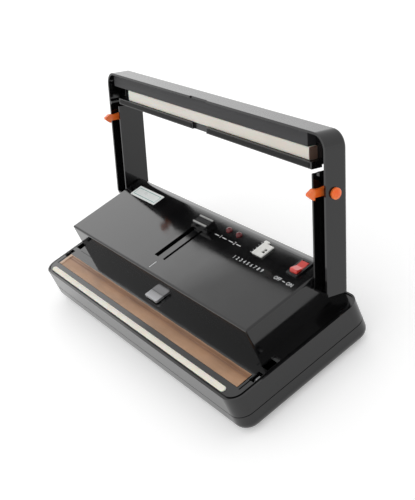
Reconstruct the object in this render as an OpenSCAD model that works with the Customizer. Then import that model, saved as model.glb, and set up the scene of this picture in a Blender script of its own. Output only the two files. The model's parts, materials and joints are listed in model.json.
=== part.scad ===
// Table-top vacuum sealer with a hinged frame lid, shown open.
// X runs along the width, the front is at -Y, Z is up and the feet stand on Z = 0.
// Shapes are drawn from the front face of the base (y = 0) and the lid is drawn closed.

/* [Base] */
// Width of the base and the lid
base_w = 380; // [372:1:400]
// Depth of the base
base_d = 145; // [143:1:160]
// Height of the deck above the ground
deck_z = 41; // [40:0.5:48]
// Height of the rubber feet
foot_h = 3; // [2:0.5:5]
// Radius of the corners in plan
corner_r = 14; // [12:0.5:15]
// Radius of the bottom edge
bottom_r = 8; // [5:0.5:9]
// Thickness of the moulded walls
wall = 2.4; // [2:0.1:2.6]
// Height of the seam between the lower and the upper shell
seam_z = 19.6; // [18:0.2:21]
// Width of the rim around the deck
rim_w = 1.5; // [1:0.1:1.7]
// Width of the groove between the rim and the deck
groove_w = 1.8; // [1:0.1:2]
// Depth of the groove
groove_depth = 1.5; // [0.8:0.1:1.5]
// Radius of the deck's rear corners
deck_rear_r = 17; // [12:0.5:20]
// Height of the step around the housing
step_h = 0.5; // [0.3:0.1:0.6]

/* [Sealing line] */
// Distance from each side face to the end of the heated band
element_in = 30; // [28:0.5:40]
// Width of the heated band
element_w = 3; // [2:0.5:6]
// Distance from each side face to the end of the non-stick cloth
cloth_in = 12.5; // [11.5:0.5:15]
// Width of the non-stick cloth
cloth_w = 16.3; // [14:0.1:16.5]
// Distance from the front face to the cloth
cloth_y = 15.2; // [14:0.1:16]
// Mean distance from each side face to the end of the foam strip
foam_in = 16.5; // [15:0.5:25]
// Width of the foam strip
foam_w = 5.8; // [4:0.1:7]
// Distance from the front face to the foam strip
foam_y = 3.8; // [3.7:0.1:4.5]

/* [Housing] */
// Gap between the housing and each arm of the lid
cover_gap = 1.2; // [1:0.1:4]
// Distance from the front face to the housing
cover_y = 46.4; // [45:0.1:48]
// Height of the housing above the deck
cover_h = 32.5; // [31:0.5:36]
// Radius of the rear top edge
cover_rear_r = 10; // [6:0.5:10]
// Radius of the other edges
cover_edge_r = 2; // [1:0.25:2.25]

/* [Lid] */
// Angle between the closed and the open lid
open_angle = 112.6; // [100:0.1:114]
// Distance from the hinge line to the rear face of the base
hinge_back = 10.9; // [10.5:0.1:12]
// Height of the hinge line above the deck
hinge_up = 18.7; // [18.5:0.1:19.5]
// Length of the arms behind the hinge line
lid_tail = 2.7; // [2.6:0.1:3.5]
// Height of the outer skirt
skirt_h = 21.8; // [20:0.1:23]
// Height of the lid at its inner edge
crest_h = 29.5; // [27:0.1:31]
// Distance from the outer face to the raised part's top
crest_in = 20; // [16:0.5:24]
// Depth of the front bar
bar_d = 32.4; // [32.2:0.1:33]
// Width of each arm
arm_w = 19.8; // [19.4:0.1:20]
// Thickness of the lid's walls
lid_wall = 2.2; // [1.8:0.1:2.3]
// Mean distance from each arm to the end of the sealing rubber
rubber_in = 13.2; // [10:0.1:20]
// Width of the sealing rubber
rubber_w = 11; // [10:0.1:11]
// Thickness of the sealing rubber
rubber_h = 8.5; // [7:0.1:9]

/* [Latches] */
// Distance from the front face to the latch's pivot
latch_y = 48.8; // [48:0.1:50]
// Diameter of the knob
knob_d = 9.8; // [8:0.1:11]
// How far the knob stands out from the arm
knob_out = 4; // [3:0.1:5]
// Thickness of the hook
hook_t = 4; // [3:0.1:4.2]
// Turn from free to caught
latch_turn = 12; // [10:0.5:12]

/* [Suction nozzle] */
// Middle of the nozzle across the width
nozzle_x = -4; // [-8:0.5:0]
// Width of the nozzle
nozzle_w = 22.5; // [20:0.5:23]
// Thickness of the nozzle
nozzle_t = 2.3; // [2:0.1:2.3]
// Distance from the front face to the nozzle's tip when it is back
nozzle_y = 37.6; // [37:0.1:40]

/* [Controls] */
// Size of the power switch across the width
switch_w = 15; // [14:0.5:16]
// Size of the power switch front to back
switch_d = 21; // [20:0.5:22]
// Tilt of the rocker to each side
rocker_tilt = 9; // [5:0.5:10]
// Travel of the time slider
timer_travel = 8; // [5:0.5:8]
// Diameter of the lamps
lamp_d = 6.5; // [3:0.5:8]

/* [Inside] */
// Diameter of the pump motor
motor_d = 32; // [28:1:34]
// Length of the pump motor
motor_len = 50; // [40:1:52]
// Outer diameter of the suction pipe
pipe_d = 6; // [5:0.5:6]
// Thickness of the circuit board
board_t = 1.6; // [1.2:0.2:2]

/* [Hidden] */
$fn = 64;
e = 0.01;

// Clearances
skirt_gap = 0.3; // closed lid above the rim
run_gap = 0.3; // between parts that move past each other
shaft_gap = 0.08; // between a shaft and its bore, on the radius

// Levels
rim_z = deck_z - 0.4;
step_z = deck_z + step_h;
cover_top = deck_z + cover_h;
plate_z = deck_z - wall; // underside of the deck
floor_z = foot_h + wall; // inside of the lower shell
cover_in = cover_top - wall; // inside of the housing's top
skirt_z = rim_z + skirt_gap;
lid_edge_z = skirt_z + skirt_h;
lid_top_z = skirt_z + crest_h;

// Places in plan
deck_in = rim_w + groove_w;
cover_d = base_d - cover_y;
arm_x = base_w / 2 - arm_w; // inner face of each arm
cover_w = 2 * (arm_x - cover_gap);
cover_side_x = cover_w / 2;
opening_side = 19.5; // from the housing's side to the openings in the deck below it
opening_front = 6; // from the housing's front to the same openings
opening_rear = 14; // and from its rear
web_w = 12.75; // deck left beside the nozzle
arm_wall = 1.8;
bar_wall = 2; // rear wall of the front bar
side_x = base_w / 2 - lid_wall; // inner face of the outer skirt
step_y = cover_y - 5;
step_x = arm_x + 1.5;
hinge_y = base_d - hinge_back;
hinge_z = deck_z + hinge_up;
lid_back = hinge_y + lid_tail;
ledge_w = 8; // flat ledge outside the raised part of the lid
slope = atan((lid_top_z - lid_edge_z) / (crest_in - ledge_w));
edge_r = 3; // rounding of the lid's outer top edge

// The origin lies below the middle of the open sealer
lean = open_angle - 90;
crest_back = (hinge_y - crest_in) * sin(lean) + (lid_top_z - hinge_z) * cos(lean);
edge_back = (hinge_y - edge_r) * sin(lean) + (lid_edge_z - edge_r - hinge_z) * cos(lean) + edge_r;
open_back = hinge_y + max(crest_back, edge_back);
origin_y = open_back / 2;

// Sealing line
element_len = base_w - 2 * element_in;
cloth_len = base_w - 2 * cloth_in;
foam_len = base_w - 2 * foam_in;
bar_z = deck_z - 1.2; // floor of the recess for the seal bar
bar_w = cloth_w - 2.3;
bar_y = cloth_y + 1.3;
bar_mid = bar_y + bar_w / 2;
terminal_len = 12;
tape_w = 10;
tape_t = 0.3;
bar_end = element_len / 2 + terminal_len + run_gap;
cloth_t = 0.6;
foam_x = -2.5;
foam_z = deck_z - 0.8;
foam_h = 1.8;

// Slots beside the sealing line, counted from the outer face
switch_slot = [4, 10.5, 26.5, 37.4]; // two sides, front and rear edge
hook_in = 7; // from the outer face to the hook
hook_slot = [hook_in - 2.5, hook_in + hook_t + 3.3, latch_y - 6.5, latch_y + 8.2];

// Lid fittings
rubber_y = 15.4;
rubber_len = 2 * (arm_x - rubber_in);
rubber_x = 7;
rubber_z = deck_z + 3.9;
rail_y = rubber_y + rubber_w;
rail_z = deck_z + 1.9;
holder_z = rubber_z + rubber_h;
holder_t = 2;
holder_len = 2 * arm_x - 1;
press_y = lid_wall + 1.3;
press_ends = [5.8 - side_x, arm_x - 8];
gasket_w = 3.7;
gasket_z = rail_z - 0.5;
gasket_deep = 2;
gasket_y = rail_y + 1.2;
gasket_end = holder_len / 2 - 3;
screw_y = rail_y - 3.5;
screw_in = 20.2; // from each arm to the first screw
screw_xs = [for (i = [-2:2]) i * (arm_x - screw_in) / 2];
holder_screw_len = 8;
holder_screw_r = 1.2;
holder_head = [2.4, 1.6]; // radius and height

// Hinge
pin_r = 2;
bush_r = 3.5;
pin_in = 10; // reach of the pin into the housing
pin_out = 14; // reach of the pin into the arm
bush_flange = 0.9;
hinge_boss_r = 5;

// Latch
latch_z = deck_z + 9.2;
shaft_r = 2.5;
hook_out = base_w / 2 - hook_in; // outer face of the hook
hook_rear = 4.6; // reach of the hook's shoulder behind the pivot
neck_rear = 2.6; // reach of the neck behind the pivot
catch_t = 1.2;
catch_drop = latch_z - plate_z + catch_t; // from the pivot down to the catch's lower face
catch_y = latch_y + neck_rear * cos(latch_turn) + catch_drop * sin(latch_turn) + 0.4; // its front edge
shoulder_z = latch_z - (catch_drop + run_gap + hook_rear * sin(latch_turn)) / cos(latch_turn);
catch_in = 3.5; // from the outer face to the catch
catch_size = [12, 12];
catch_screw_spots = [for (side = [-1, 1])
    [side * (base_w / 2 - catch_in - catch_size[0] / 2), catch_y + catch_size[1] * 2 / 3]];

// Suction nozzle
nozzle_z = deck_z + 1.3;
nozzle_top = nozzle_z + nozzle_t;
nozzle_side = nozzle_w / 2;
gasket_spans = [[-gasket_end, nozzle_x - nozzle_side - 3.2], [nozzle_x + nozzle_side + 3.2, gasket_end]];
lip_z = nozzle_top + run_gap; // lower face of the guide's lips
lip_t = 1.2;
rail_t = 2.8;
carriage_back = 23; // from the rear face to the carriage
carriage_len = 37.5;
carriage_end = base_d - carriage_back;
carriage_y = carriage_end - carriage_len;
nozzle_travel = carriage_y - cover_y - wall - 0.7; // until the carriage is just behind the housing's front
carriage_w = 16;
pipe_z = deck_z + 13;
pipe_start = carriage_y + 1.5;
bridge_y = carriage_end + 0.4;
bridge_t = 2.6;
pipe_end = bridge_y + bridge_t + 4;
slider_y = carriage_end - 9.5;
slider_d = 12.5;
slider_w = 30;
slider_t = 2; // thickness of the knob's foot
grip_x = 5.25; // from the nozzle's middle to the grip's middle
grip_w = 23.5;
grip_d = slider_d - 1.5;
grip_h = 8.7;
stem_xs = [-12.2, 4.1]; // left faces of the knob's stems
stem_ws = [6.6, 3];
stem_y = slider_y + 1.5;
stem_len = carriage_end - stem_y - run_gap;
slot_front = 19.6; // from the housing's front to the knob's slots
stem_grip = 1.5; // depth of the stems in the knob

// Hose and pump
hose_r = 4.5;
hose_bend = 8;
port_x = -58;
head_w = 36;
head_d = 38;
head_y = base_d - 69;
port_y = head_y + head_d;
motor_y = head_y + head_d / 2;
motor_z = floor_z + 22;
head_x = port_x - head_w / 2;
hose_back = base_d - wall - hose_r - 0.6;

// Circuit board and controls
board_z = deck_z + 20;
switch_mid = [cover_side_x - 21.5, base_d - 21];
board_x0 = 24;
board_x1 = switch_mid[0] - 15.5;
board_y0 = cover_y + 13.6;
board_y1 = base_d - 8;
relay_size = [15, 18, 8];
capacitor_size = [4, 7.5]; // radius and height
capacitor_step = 14;
chip_size = [30, 7, 2];
post_spots = [[board_x0 + 4, board_y0 + 5], [board_x1 - 4, board_y0 + 5],
    [board_x0 + 4, board_y1 - 22], [board_x1 - 4, board_y1 - 5]];
lamp_y = base_d - 17.2;
lamp_dome = 3; // height of a lamp's dome
lamp_spots = [[31, lamp_y], [48, lamp_y]];
bezel_h = 1.5;
lap = 1.5; // overlap of the bezel on the panel
rocker_r = switch_d / 2 - 2.5;
rocker_w = switch_w - 5.4;
rocker_z = cover_top - 1.5;
timer_mid = [switch_mid[0] - 55.2, base_d - 20];
timer_w = 15.4;
timer_t = 1.2; // thickness of the knob's plate
timer_tab = 6.4; // width of the raised tab at its back
timer_d = 18;
timer_stem = [2.4, 6];
timer_stem_y = timer_mid[1] - 0.5;
label_size = [52.5, 15];
label_at = [17 - cover_side_x, base_d - 29];

// Fastenings and feet
foot_spots = [for (x = [-1, 1], y = [20, base_d - 28]) [x * (base_w / 2 - 28), y]];
foot_r = 7;
foot_pin_r = 2.5;
shell_screw_len = 18;
cover_screw_len = 12;
pilot_deep = 13; // screw holes above the seam
cover_pilot = 10; // screw holes in the housing
shell_screws = [for (x = [-(base_w / 2 - 27), 0, base_w / 2 - 27], y = [38, base_d - 12]) [x, y]];
cover_screws_at = [for (x = [-1, 1], y = [cover_y + 11, base_d - 20]) [x * (cover_w / 2 - 10), y]];
boss_r = 4.5;
screw_r = 1.5;
head_r = 3;
sink_r = 3.3;
boss_sink = 9;

// Cord bush in the rear wall
gland_x = base_w / 2 - 60;
gland_z = (seam_z + plate_z) / 2;
gland_r = 6;
cord_r = 3.6;

// Transformer
core_at = [34, base_d - 69];
core_size = [50, 34, 44];
coil_over = 8;
core_z = floor_z + 6;
vents = 7; // air slots in the floor below the transformer
vent_step = 8;
vent_size = [3, 50];

// Lid switches
lever_x = base_w / 2 - switch_slot[0] - 1.3; // outer face of the lever
lever_w = 3.5;
lever_pivot = [switch_slot[2] - 3, deck_z - 7.6];
lever_top = deck_z - 2.4;
micro_y = switch_slot[2] - 6.2;
micro_len = 19.8;
micro_w = 6.4;
micro_h = 10.2;
micro_z = lever_pivot[1] - 1.2 - micro_h;
micro_x = base_w / 2 - 3.8; // outer face of the switch body

black = [0.07, 0.07, 0.08];
dark = [0.14, 0.14, 0.15];
steel = [0.78, 0.79, 0.8];
cream = [0.93, 0.91, 0.84];
orange = [0.94, 0.44, 0.16];
red = [0.8, 0.08, 0.1];
white = [0.94, 0.94, 0.94];

// ---- Placing ----

// From the front face of the base to the part's own origin
module seat() {
    translate([0, -origin_y, 0]) children();
}

// From the closed to the open lid
module open_lid() {
    translate([0, hinge_y, hinge_z]) rotate([-open_angle, 0, 0])
        translate([0, -hinge_y, -hinge_z]) children();
}

// One copy on each side
module both_sides() {
    for (side = [0, 1]) mirror([side, 0, 0]) children();
}

// One copy at each place of a list, at a level
module at_each(spots, level) {
    for (p = spots) translate([p[0], p[1], level]) children();
}

// A profile drawn as (y, z), extruded along X and centred
module along_x(length) {
    rotate([90, 0, 90]) linear_extrude(length, center = true) children();
}

// A profile drawn as (x, z), extruded from y = 0 to the rear
module along_y(length) {
    translate([0, length, 0]) rotate([90, 0, 0]) linear_extrude(length) children();
}

// A round bar between two places along X
module x_bar(x0, x1, y, z, r) {
    translate([x0, y, z]) rotate([0, 90, 0]) cylinder(h = x1 - x0, r = r);
}

// A round bar between two places along Y
module y_bar(x, y0, y1, z, r) {
    translate([x, y0, z]) rotate([-90, 0, 0]) cylinder(h = y1 - y0, r = r);
}

// A box given by its two opposite corners
module box(from, to) {
    translate(from) cube(to - from);
}

// ---- Outlines ----

// A plan outline, centred in x, from y = 0, with its own radius at the front and the rear
module plan(w, d, rf, rr) {
    translate([-w / 2 + rf, 0]) square([w - 2 * rf, rf + e]);
    translate([-w / 2, rf]) square([w, d - rf - rr]);
    translate([-w / 2 + rr, d - rr - e]) square([w - 2 * rr, rr + e]);
    for (side = [-1, 1]) {
        translate([side * (w / 2 - rf), rf]) circle(rf);
        translate([side * (w / 2 - rr), d - rr]) circle(rr);
    }
}

// The base's outline, drawn in by a distance
module base_plan(inset) {
    translate([0, inset]) plan(base_w - 2 * inset, base_d - 2 * inset, corner_r - inset, corner_r - inset);
}

// The raised part of the deck
module deck_plan() {
    translate([0, deck_in]) plan(base_w - 2 * deck_in, base_d - 2 * deck_in, corner_r - deck_in, deck_rear_r);
}

// A cross-section with rounded bottom edges
module tub_profile(w, h, r) {
    translate([-w / 2, r]) square([w, h - r]);
    translate([-w / 2 + r, 0]) square([w - 2 * r, h]);
    for (side = [-1, 1]) translate([side * (w / 2 - r), r]) circle(r);
}

// A block with rounded corners and a rounded bottom edge
module tub(w, d, h, rc, rb) {
    translate([0, rc, 0]) along_y(d - 2 * rc) tub_profile(w, h, rb);
    translate([0, d / 2, 0]) along_x(w - 2 * rc) tub_profile(d, h, rb);
    for (x = [-w / 2 + rc, w / 2 - rc], y = [rc, d - rc]) translate([x, y, 0]) rotate_extrude()
        intersection() {
            tub_profile(2 * rc, h, rb);
            square([rc, h]);
        }
}

// ---- Base ----

module lower_shell() {
    color(black) seat() {
        difference() {
            translate([0, 0, foot_h]) tub(base_w, base_d, seam_z - foot_h, corner_r, bottom_r);
            translate([0, wall, floor_z])
                tub(base_w - 2 * wall, base_d - 2 * wall, seam_z, corner_r - wall, bottom_r - wall);
            at_each(shell_screws, 0) cylinder(h = floor_z + 1, r = boss_r - e);
            at_each(foot_spots, 0) cylinder(h = floor_z + 1, r = foot_pin_r);
            for (i = [0:vents - 1]) translate([core_at[0] + vent_step * i, core_at[1] - coil_over, 0])
                cube([vent_size[0], vent_size[1], 2 * floor_z]);
        }
        at_each(shell_screws, foot_h) difference() {
            cylinder(h = seam_z - foot_h, r = boss_r);
            translate([0, 0, -1]) cylinder(h = seam_z, r = screw_r + 0.2);
            translate([0, 0, -1]) cylinder(h = boss_sink + 1, r = sink_r);
        }
        motor_cradle();
        pump_posts();
        core_posts();
        both_sides() box([micro_x - micro_w, micro_y + 2, floor_z - e], [micro_x, micro_y + 14, micro_z]);
    }
}

// Two saddles that carry the motor
module motor_cradle() {
    for (x = [head_x - motor_len + 8, head_x - 14]) difference() {
        box([x - 2, motor_y - motor_d / 2 - 2, floor_z - e], [x + 2, motor_y + motor_d / 2 + 2, motor_z]);
        x_bar(x - 3, x + 3, motor_y, motor_z, motor_d / 2);
    }
}

module pump_posts() {
    for (x = [head_x + 5, head_x + head_w - 5], y = [head_y + 5, head_y + head_d - 5])
        translate([x, y, floor_z - e]) cylinder(h = motor_z - 18 - floor_z + e, r = 4);
}

module core_posts() {
    for (x = [3, core_size[0] - 3], y = [5, core_size[1] - 5])
        translate([core_at[0] + x, core_at[1] + y, floor_z - e]) cylinder(h = core_z - floor_z + e, r = 3);
}

module upper_shell() {
    color(black) seat() difference() {
        union() {
            difference() {
                union() {
                    translate([0, 0, seam_z]) linear_extrude(rim_z - seam_z) base_plan(0);
                    translate([0, 0, plate_z]) linear_extrude(wall) deck_plan();
                    box([-step_x, step_y, plate_z], [step_x, base_d - 5, step_z]);
                    box([-cover_w / 2, base_d - corner_r, plate_z], [cover_w / 2, base_d, step_z]);
                }
                translate([0, 0, seam_z - 1]) linear_extrude(plate_z - seam_z + 1) base_plan(wall);
                groove();
            }
            at_each(shell_screws, seam_z) cylinder(h = plate_z - seam_z + e, r = boss_r);
        }
        seam_notch();
        seal_bar_recess();
        foam_recess();
        both_sides() slots();
        at_each(shell_screws, seam_z - 1) cylinder(h = pilot_deep + 1, r = screw_r);
        at_each(cover_screws_at, plate_z - 1) cylinder(h = step_z - plate_z + 2, r = screw_r + 0.2);
        at_each(catch_screw_spots, plate_z - 1) cylinder(h = wall, r = 1);
        deck_openings();
        gland_hole();
    }
}

// The openings below the housing, to the left and the right of the nozzle, for what stands in the base
module deck_openings() {
    edge = cover_side_x - opening_side;
    for (x = [[-edge, nozzle_x - nozzle_side - web_w], [nozzle_x + nozzle_side + web_w, edge]])
        box([x[0], cover_y + opening_front, plate_z - 1], [x[1], base_d - opening_rear, step_z + 1]);
}

// The groove runs round the deck and stops at the housing
module groove() {
    translate([0, 0, deck_z - groove_depth]) linear_extrude(groove_depth + 1) difference() {
        base_plan(rim_w);
        deck_plan();
        translate([-cover_w / 2, base_d - corner_r]) square([cover_w, corner_r]);
    }
}

module seam_notch() {
    translate([0, 0, seam_z - e]) linear_extrude(0.7) difference() {
        translate([-base_w, -base_d]) square([2 * base_w, 3 * base_d]);
        base_plan(0.8);
    }
}

module seal_bar_recess() {
    box([-bar_end, bar_y, bar_z], [bar_end, bar_y + bar_w, deck_z + 1]);
}

module foam_recess() {
    translate([foam_x, foam_y, foam_z]) linear_extrude(2) foam_outline();
}

module foam_outline() {
    plan(foam_len, foam_w, foam_w / 2 - e, foam_w / 2 - e);
}

// The lid switch's slot, the latch's slot and the blind slit at the cloth's end
module slots() {
    for (s = [switch_slot, hook_slot])
        box([base_w / 2 - s[1], s[2], plate_z - 1], [base_w / 2 - s[0], s[3], deck_z + 1]);
    translate([cloth_len / 2 + 3, 0, deck_z]) box([0, cloth_y - 0.7, -1], [1.5, switch_slot[2] + 1, 1]);
}

module housing_cover() {
    color(black) seat() difference() {
        union() {
            difference() {
                cover_form(0);
                cover_form(wall);
            }
            at_each(cover_screws_at, step_z) cylinder(h = cover_in - step_z + e, r = boss_r);
            at_each(post_spots, board_z + board_t) cylinder(h = cover_in - board_z - board_t + e, r = 3);
            both_sides() x_bar(cover_w / 2 - pin_in - 1, cover_w / 2 - 1, hinge_y, hinge_z, bush_r + 2);
        }
        at_each(cover_screws_at, step_z - 1) cylinder(h = cover_pilot + 1, r = screw_r);
        both_sides() x_bar(cover_w / 2 - pin_in - 2, cover_w / 2 + 1, hinge_y, hinge_z, bush_r);
        nozzle_mouth();
        knob_stems(cover_in - 1, cover_top + 1, run_gap, stem_y - run_gap - cover_y - slot_front);
        at_each(lamp_spots, cover_in - 1) cylinder(h = wall + 2, r = lamp_d / 2 + 0.1);
        timer_slot();
        switch_body(cover_in - 1, cover_top + 1);
    }
}

// The housing's solid form, drawn in by a distance
module cover_form(inset) {
    r = cover_edge_r - min(inset, cover_edge_r - 0.5);
    rear = cover_rear_r - inset;
    top = cover_top - inset;
    low = step_z - inset;
    intersection() {
        along_x(cover_w - 2 * inset) cover_side(r, rear, top, low, inset);
        translate([0, cover_y + inset, 0]) along_y(cover_d - 2 * inset) translate([0, low]) mirror([0, 1])
            translate([0, low - top]) tub_profile(cover_w - 2 * inset, top - low, r);
        translate([0, cover_y + inset, low]) linear_extrude(top - low)
            plan(cover_w - 2 * inset, cover_d - 2 * inset, r, r);
    }
}

// The housing seen from the side
module cover_side(r, rear, top, low, inset) {
    y0 = cover_y + inset;
    y1 = base_d - inset;
    translate([y0, low]) square([y1 - y0, top - low - rear]);
    translate([y0, low]) square([y1 - y0 - rear, top - low - r]);
    translate([y0 + r, low]) square([y1 - y0 - rear - r, top - low]);
    translate([y0 + r, top - r]) circle(r);
    translate([y1 - rear, top - rear]) circle(rear);
}

// The opening that the nozzle slides through
module nozzle_mouth() {
    box([nozzle_x - nozzle_side - 1.2, cover_y - 1, step_z - 1],
        [nozzle_x + nozzle_side + 1.2, cover_y + wall + 1, nozzle_top + 0.6]);
}

// The knob's two stems between two levels, with a gap around them and room to travel for their slots
module knob_stems(low, high, gap, travel) {
    for (i = [0, 1]) translate([nozzle_x + stem_xs[i], stem_y, 0])
        box([-gap, -travel - gap, low], [stem_ws[i] + gap, stem_len + gap, high]);
}

module timer_slot() {
    box([timer_mid[0] - timer_stem[0] / 2 - run_gap, timer_stem_y - timer_travel - run_gap, cover_in - 1],
        [timer_mid[0] + timer_stem[0] / 2 + run_gap, timer_stem_y + timer_stem[1] + run_gap, cover_top + 1]);
}

// The switch's body below its bezel, and the cutout that it fills, between two levels
module switch_body(low, high) {
    translate([switch_mid[0], switch_mid[1], 0])
        box([-switch_w / 2 + lap, -switch_d / 2 + lap, low], [switch_w / 2 - lap, switch_d / 2 - lap, high]);
}

module rubber_feet() {
    color(dark) seat() at_each(foot_spots, 0) {
        cylinder(h = foot_h, r = foot_r);
        cylinder(h = floor_z, r = foot_pin_r);
    }
}

// A screw with its head below, tip up
module screw(r, length, head) {
    cylinder(h = length, r = r - 0.05);
    translate([0, 0, -2]) cylinder(h = 2, r = head);
}

module base_screws() {
    color(steel) seat() at_each(shell_screws, foot_h + boss_sink) screw(screw_r, shell_screw_len, head_r);
}

module cover_screws() {
    color(steel) seat() at_each(cover_screws_at, plate_z) screw(screw_r, cover_screw_len, head_r);
}

module gland_hole() {
    y_bar(gland_x, base_d - wall - 1, base_d + 1, gland_z, gland_r);
}

// The bush in the rear wall that a mains cord passes through
module cord_gland() {
    color(dark) seat() difference() {
        union() {
            y_bar(gland_x, base_d - wall, base_d, gland_z, gland_r);
            y_bar(gland_x, base_d, base_d + 1.5, gland_z, gland_r + 2);
            y_bar(gland_x, base_d - wall - 3, base_d - wall, gland_z, gland_r + 2);
        }
        y_bar(gland_x, base_d - 12, base_d + 3, gland_z, cord_r);
    }
}

// ---- Sealing line ----

module seal_bar() {
    color(dark) seat() difference() {
        box([-element_len / 2, bar_y, bar_z], [element_len / 2, bar_y + bar_w, deck_z]);
        tape(element_len + 2, 1);
    }
}

module insulating_strip() {
    color([0.85, 0.82, 0.7]) seat() tape(element_len, tape_t);
}

// The strip in the seal bar's top, or the room for it
module tape(length, height) {
    translate([-length / 2, bar_mid - tape_w / 2, deck_z - tape_t]) cube([length, tape_w, height]);
}

module heating_band() {
    color(steel) seat() translate([-element_len / 2 - 6, bar_mid - element_w / 2, deck_z])
        cube([element_len + 12, element_w, 0.2]);
}

module band_terminals() {
    color([0.75, 0.6, 0.3]) seat() both_sides() translate([element_len / 2, bar_mid, 0])
        box([run_gap, -4, bar_z], [terminal_len, 4, deck_z]);
}

module nonstick_cloth() {
    color([0.76, 0.63, 0.48]) seat() difference() {
        translate([-cloth_len / 2, cloth_y, deck_z]) cube([cloth_len, cloth_w, cloth_t]);
        translate([-element_len / 2 - 6.1, bar_mid - element_w / 2 - 0.1, deck_z - 1])
            cube([element_len + 12.2, element_w + 0.2, 1.25]);
    }
}

module foam_strip() {
    color(cream) seat() translate([foam_x, foam_y, foam_z]) linear_extrude(foam_h) foam_outline();
}

// ---- Latch catches ----

module latch_catches() {
    color(steel) seat() difference() {
        both_sides() translate([base_w / 2 - catch_in - catch_size[0], catch_y, plate_z - catch_t])
            cube([catch_size[0], catch_size[1], catch_t]);
        at_each(catch_screw_spots, plate_z - 3) cylinder(h = 4, r = 1.1);
    }
}

module catch_screws() {
    color(steel) seat() at_each(catch_screw_spots, plate_z - catch_t) screw(1.05, catch_t + 0.8, 2);
}

// ---- Suction ----

module suction_nozzle() {
    color(steel) seat() difference() {
        translate([nozzle_x, 0, nozzle_z]) linear_extrude(nozzle_t) translate([0, nozzle_y])
            plan(nozzle_w, carriage_end - 4 - nozzle_y, 2, 1);
        translate([nozzle_x - nozzle_side + 2, nozzle_y - 1, nozzle_z + 0.6])
            cube([nozzle_w - 4, carriage_end - 12 - nozzle_y, nozzle_t - 1.2]);
        translate([nozzle_x, carriage_y + 8, nozzle_z + 0.6]) cylinder(h = nozzle_t, r = 1.5);
    }
}

module nozzle_carriage() {
    color(dark) seat() difference() {
        union() {
            translate([nozzle_x, 0, 0])
                box([-carriage_w / 2, carriage_y, nozzle_top], [carriage_w / 2, carriage_end, pipe_z + 6]);
            knob_stems(lip_z + lip_t + run_gap, cover_top + run_gap + stem_grip, 0, 0);
        }
        y_bar(nozzle_x, carriage_y + 1, carriage_end + 1, pipe_z, pipe_d / 2 + shaft_gap);
        translate([nozzle_x, carriage_y + 8, nozzle_top - 1]) cylinder(h = pipe_z - nozzle_top, r = 1.5);
    }
}

module slider_knob() {
    base_z = cover_top + run_gap;
    color(black) seat() difference() {
        union() {
            translate([nozzle_x + 2, slider_y, base_z]) linear_extrude(slider_t)
                plan(slider_w, slider_d, 1.5, 1.5);
            translate([nozzle_x + grip_x, slider_y + slider_d - grip_d, base_z]) {
                along_x(grip_w) polygon([[-0.6, 0], [grip_d, 0], [grip_d, grip_h - 0.6],
                    [grip_d - 0.6, grip_h], [grip_d - 1.4, grip_h], [grip_d - 2, grip_h - 0.8],
                    [2.4, grip_h - 1.3], [2, grip_h], [1, grip_h], [0, grip_h - 1.2]]);
                for (i = [0:2]) translate([1 - grip_w / 2, 3.2 + 2.2 * i, grip_h - 1.7])
                    cube([grip_w - 2, 0.8, 1.2]);
            }
        }
        knob_stems(base_z - 1, base_z + stem_grip, 0, 0);
    }
}

// Two rails beside the nozzle, joined by the bridge that holds the pipe
module nozzle_guide() {
    rail_in = nozzle_side + run_gap;
    rail_len = bridge_y + bridge_t - cover_y - wall - 1;
    color(dark) seat() difference() {
        union() {
            for (side = [0, 1]) translate([nozzle_x, cover_y + wall + 1, 0]) mirror([side, 0, 0]) {
                box([rail_in, 0, step_z], [rail_in + rail_t, rail_len, lip_z + lip_t]);
                box([rail_in - 1.2, 0, lip_z], [rail_in + 1, rail_len, lip_z + lip_t]);
            }
            translate([nozzle_x, bridge_y, 0])
                box([-rail_in - rail_t, 0, lip_z], [rail_in + rail_t, bridge_t, pipe_z + 6]);
        }
        y_bar(nozzle_x, bridge_y - 1, bridge_y + bridge_t + 1, pipe_z, pipe_d / 2);
    }
}

module suction_pipe() {
    color(steel) seat() difference() {
        y_bar(nozzle_x, pipe_start, pipe_end, pipe_z, pipe_d / 2);
        y_bar(nozzle_x, pipe_start - 1, pipe_end + 1, pipe_z, pipe_d / 2 - 1);
    }
}

// The hose from the pipe to the pump's port, in one level plane
module vacuum_hose() {
    y0 = bridge_y + bridge_t;
    y1 = hose_back - hose_bend;
    color([0.85, 0.85, 0.82]) seat() translate([0, 0, pipe_z]) {
        translate([nozzle_x, y0, 0]) rotate([-90, 0, 0]) hose_run(y1 - y0);
        translate([nozzle_x - hose_bend, y1, 0]) rotate_extrude(angle = 90) hose_ring();
        translate([port_x + hose_bend, hose_back, 0]) rotate([0, 90, 0])
            hose_run(nozzle_x - port_x - 2 * hose_bend);
        translate([port_x + hose_bend, y1, 0]) rotate([0, 0, 90]) rotate_extrude(angle = 90) hose_ring();
        translate([port_x, port_y + 2, 0]) rotate([-90, 0, 0]) hose_run(y1 - port_y - 2);
    }
}

module hose_run(length) {
    difference() {
        cylinder(h = length, r = hose_r);
        translate([0, 0, -1]) cylinder(h = length + 2, r = pipe_d / 2);
    }
}

module hose_ring() {
    translate([hose_bend, 0]) difference() {
        circle(hose_r);
        circle(pipe_d / 2);
    }
}

module pump_head() {
    color(dark) seat() difference() {
        union() {
            box([head_x, head_y, motor_z - 18], [head_x + head_w, port_y, pipe_z + 6]);
            y_bar(port_x, port_y - e, port_y + 12, pipe_z, pipe_d / 2);
        }
        y_bar(port_x, port_y - 8, port_y + 13, pipe_z, pipe_d / 2 - 1);
    }
}

module pump_motor() {
    color(steel) seat() {
        x_bar(head_x - motor_len, head_x, motor_y, motor_z, motor_d / 2);
        x_bar(head_x - motor_len - 3, head_x - motor_len + e, motor_y, motor_z, 5);
    }
}

// ---- Electrics ----

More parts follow.
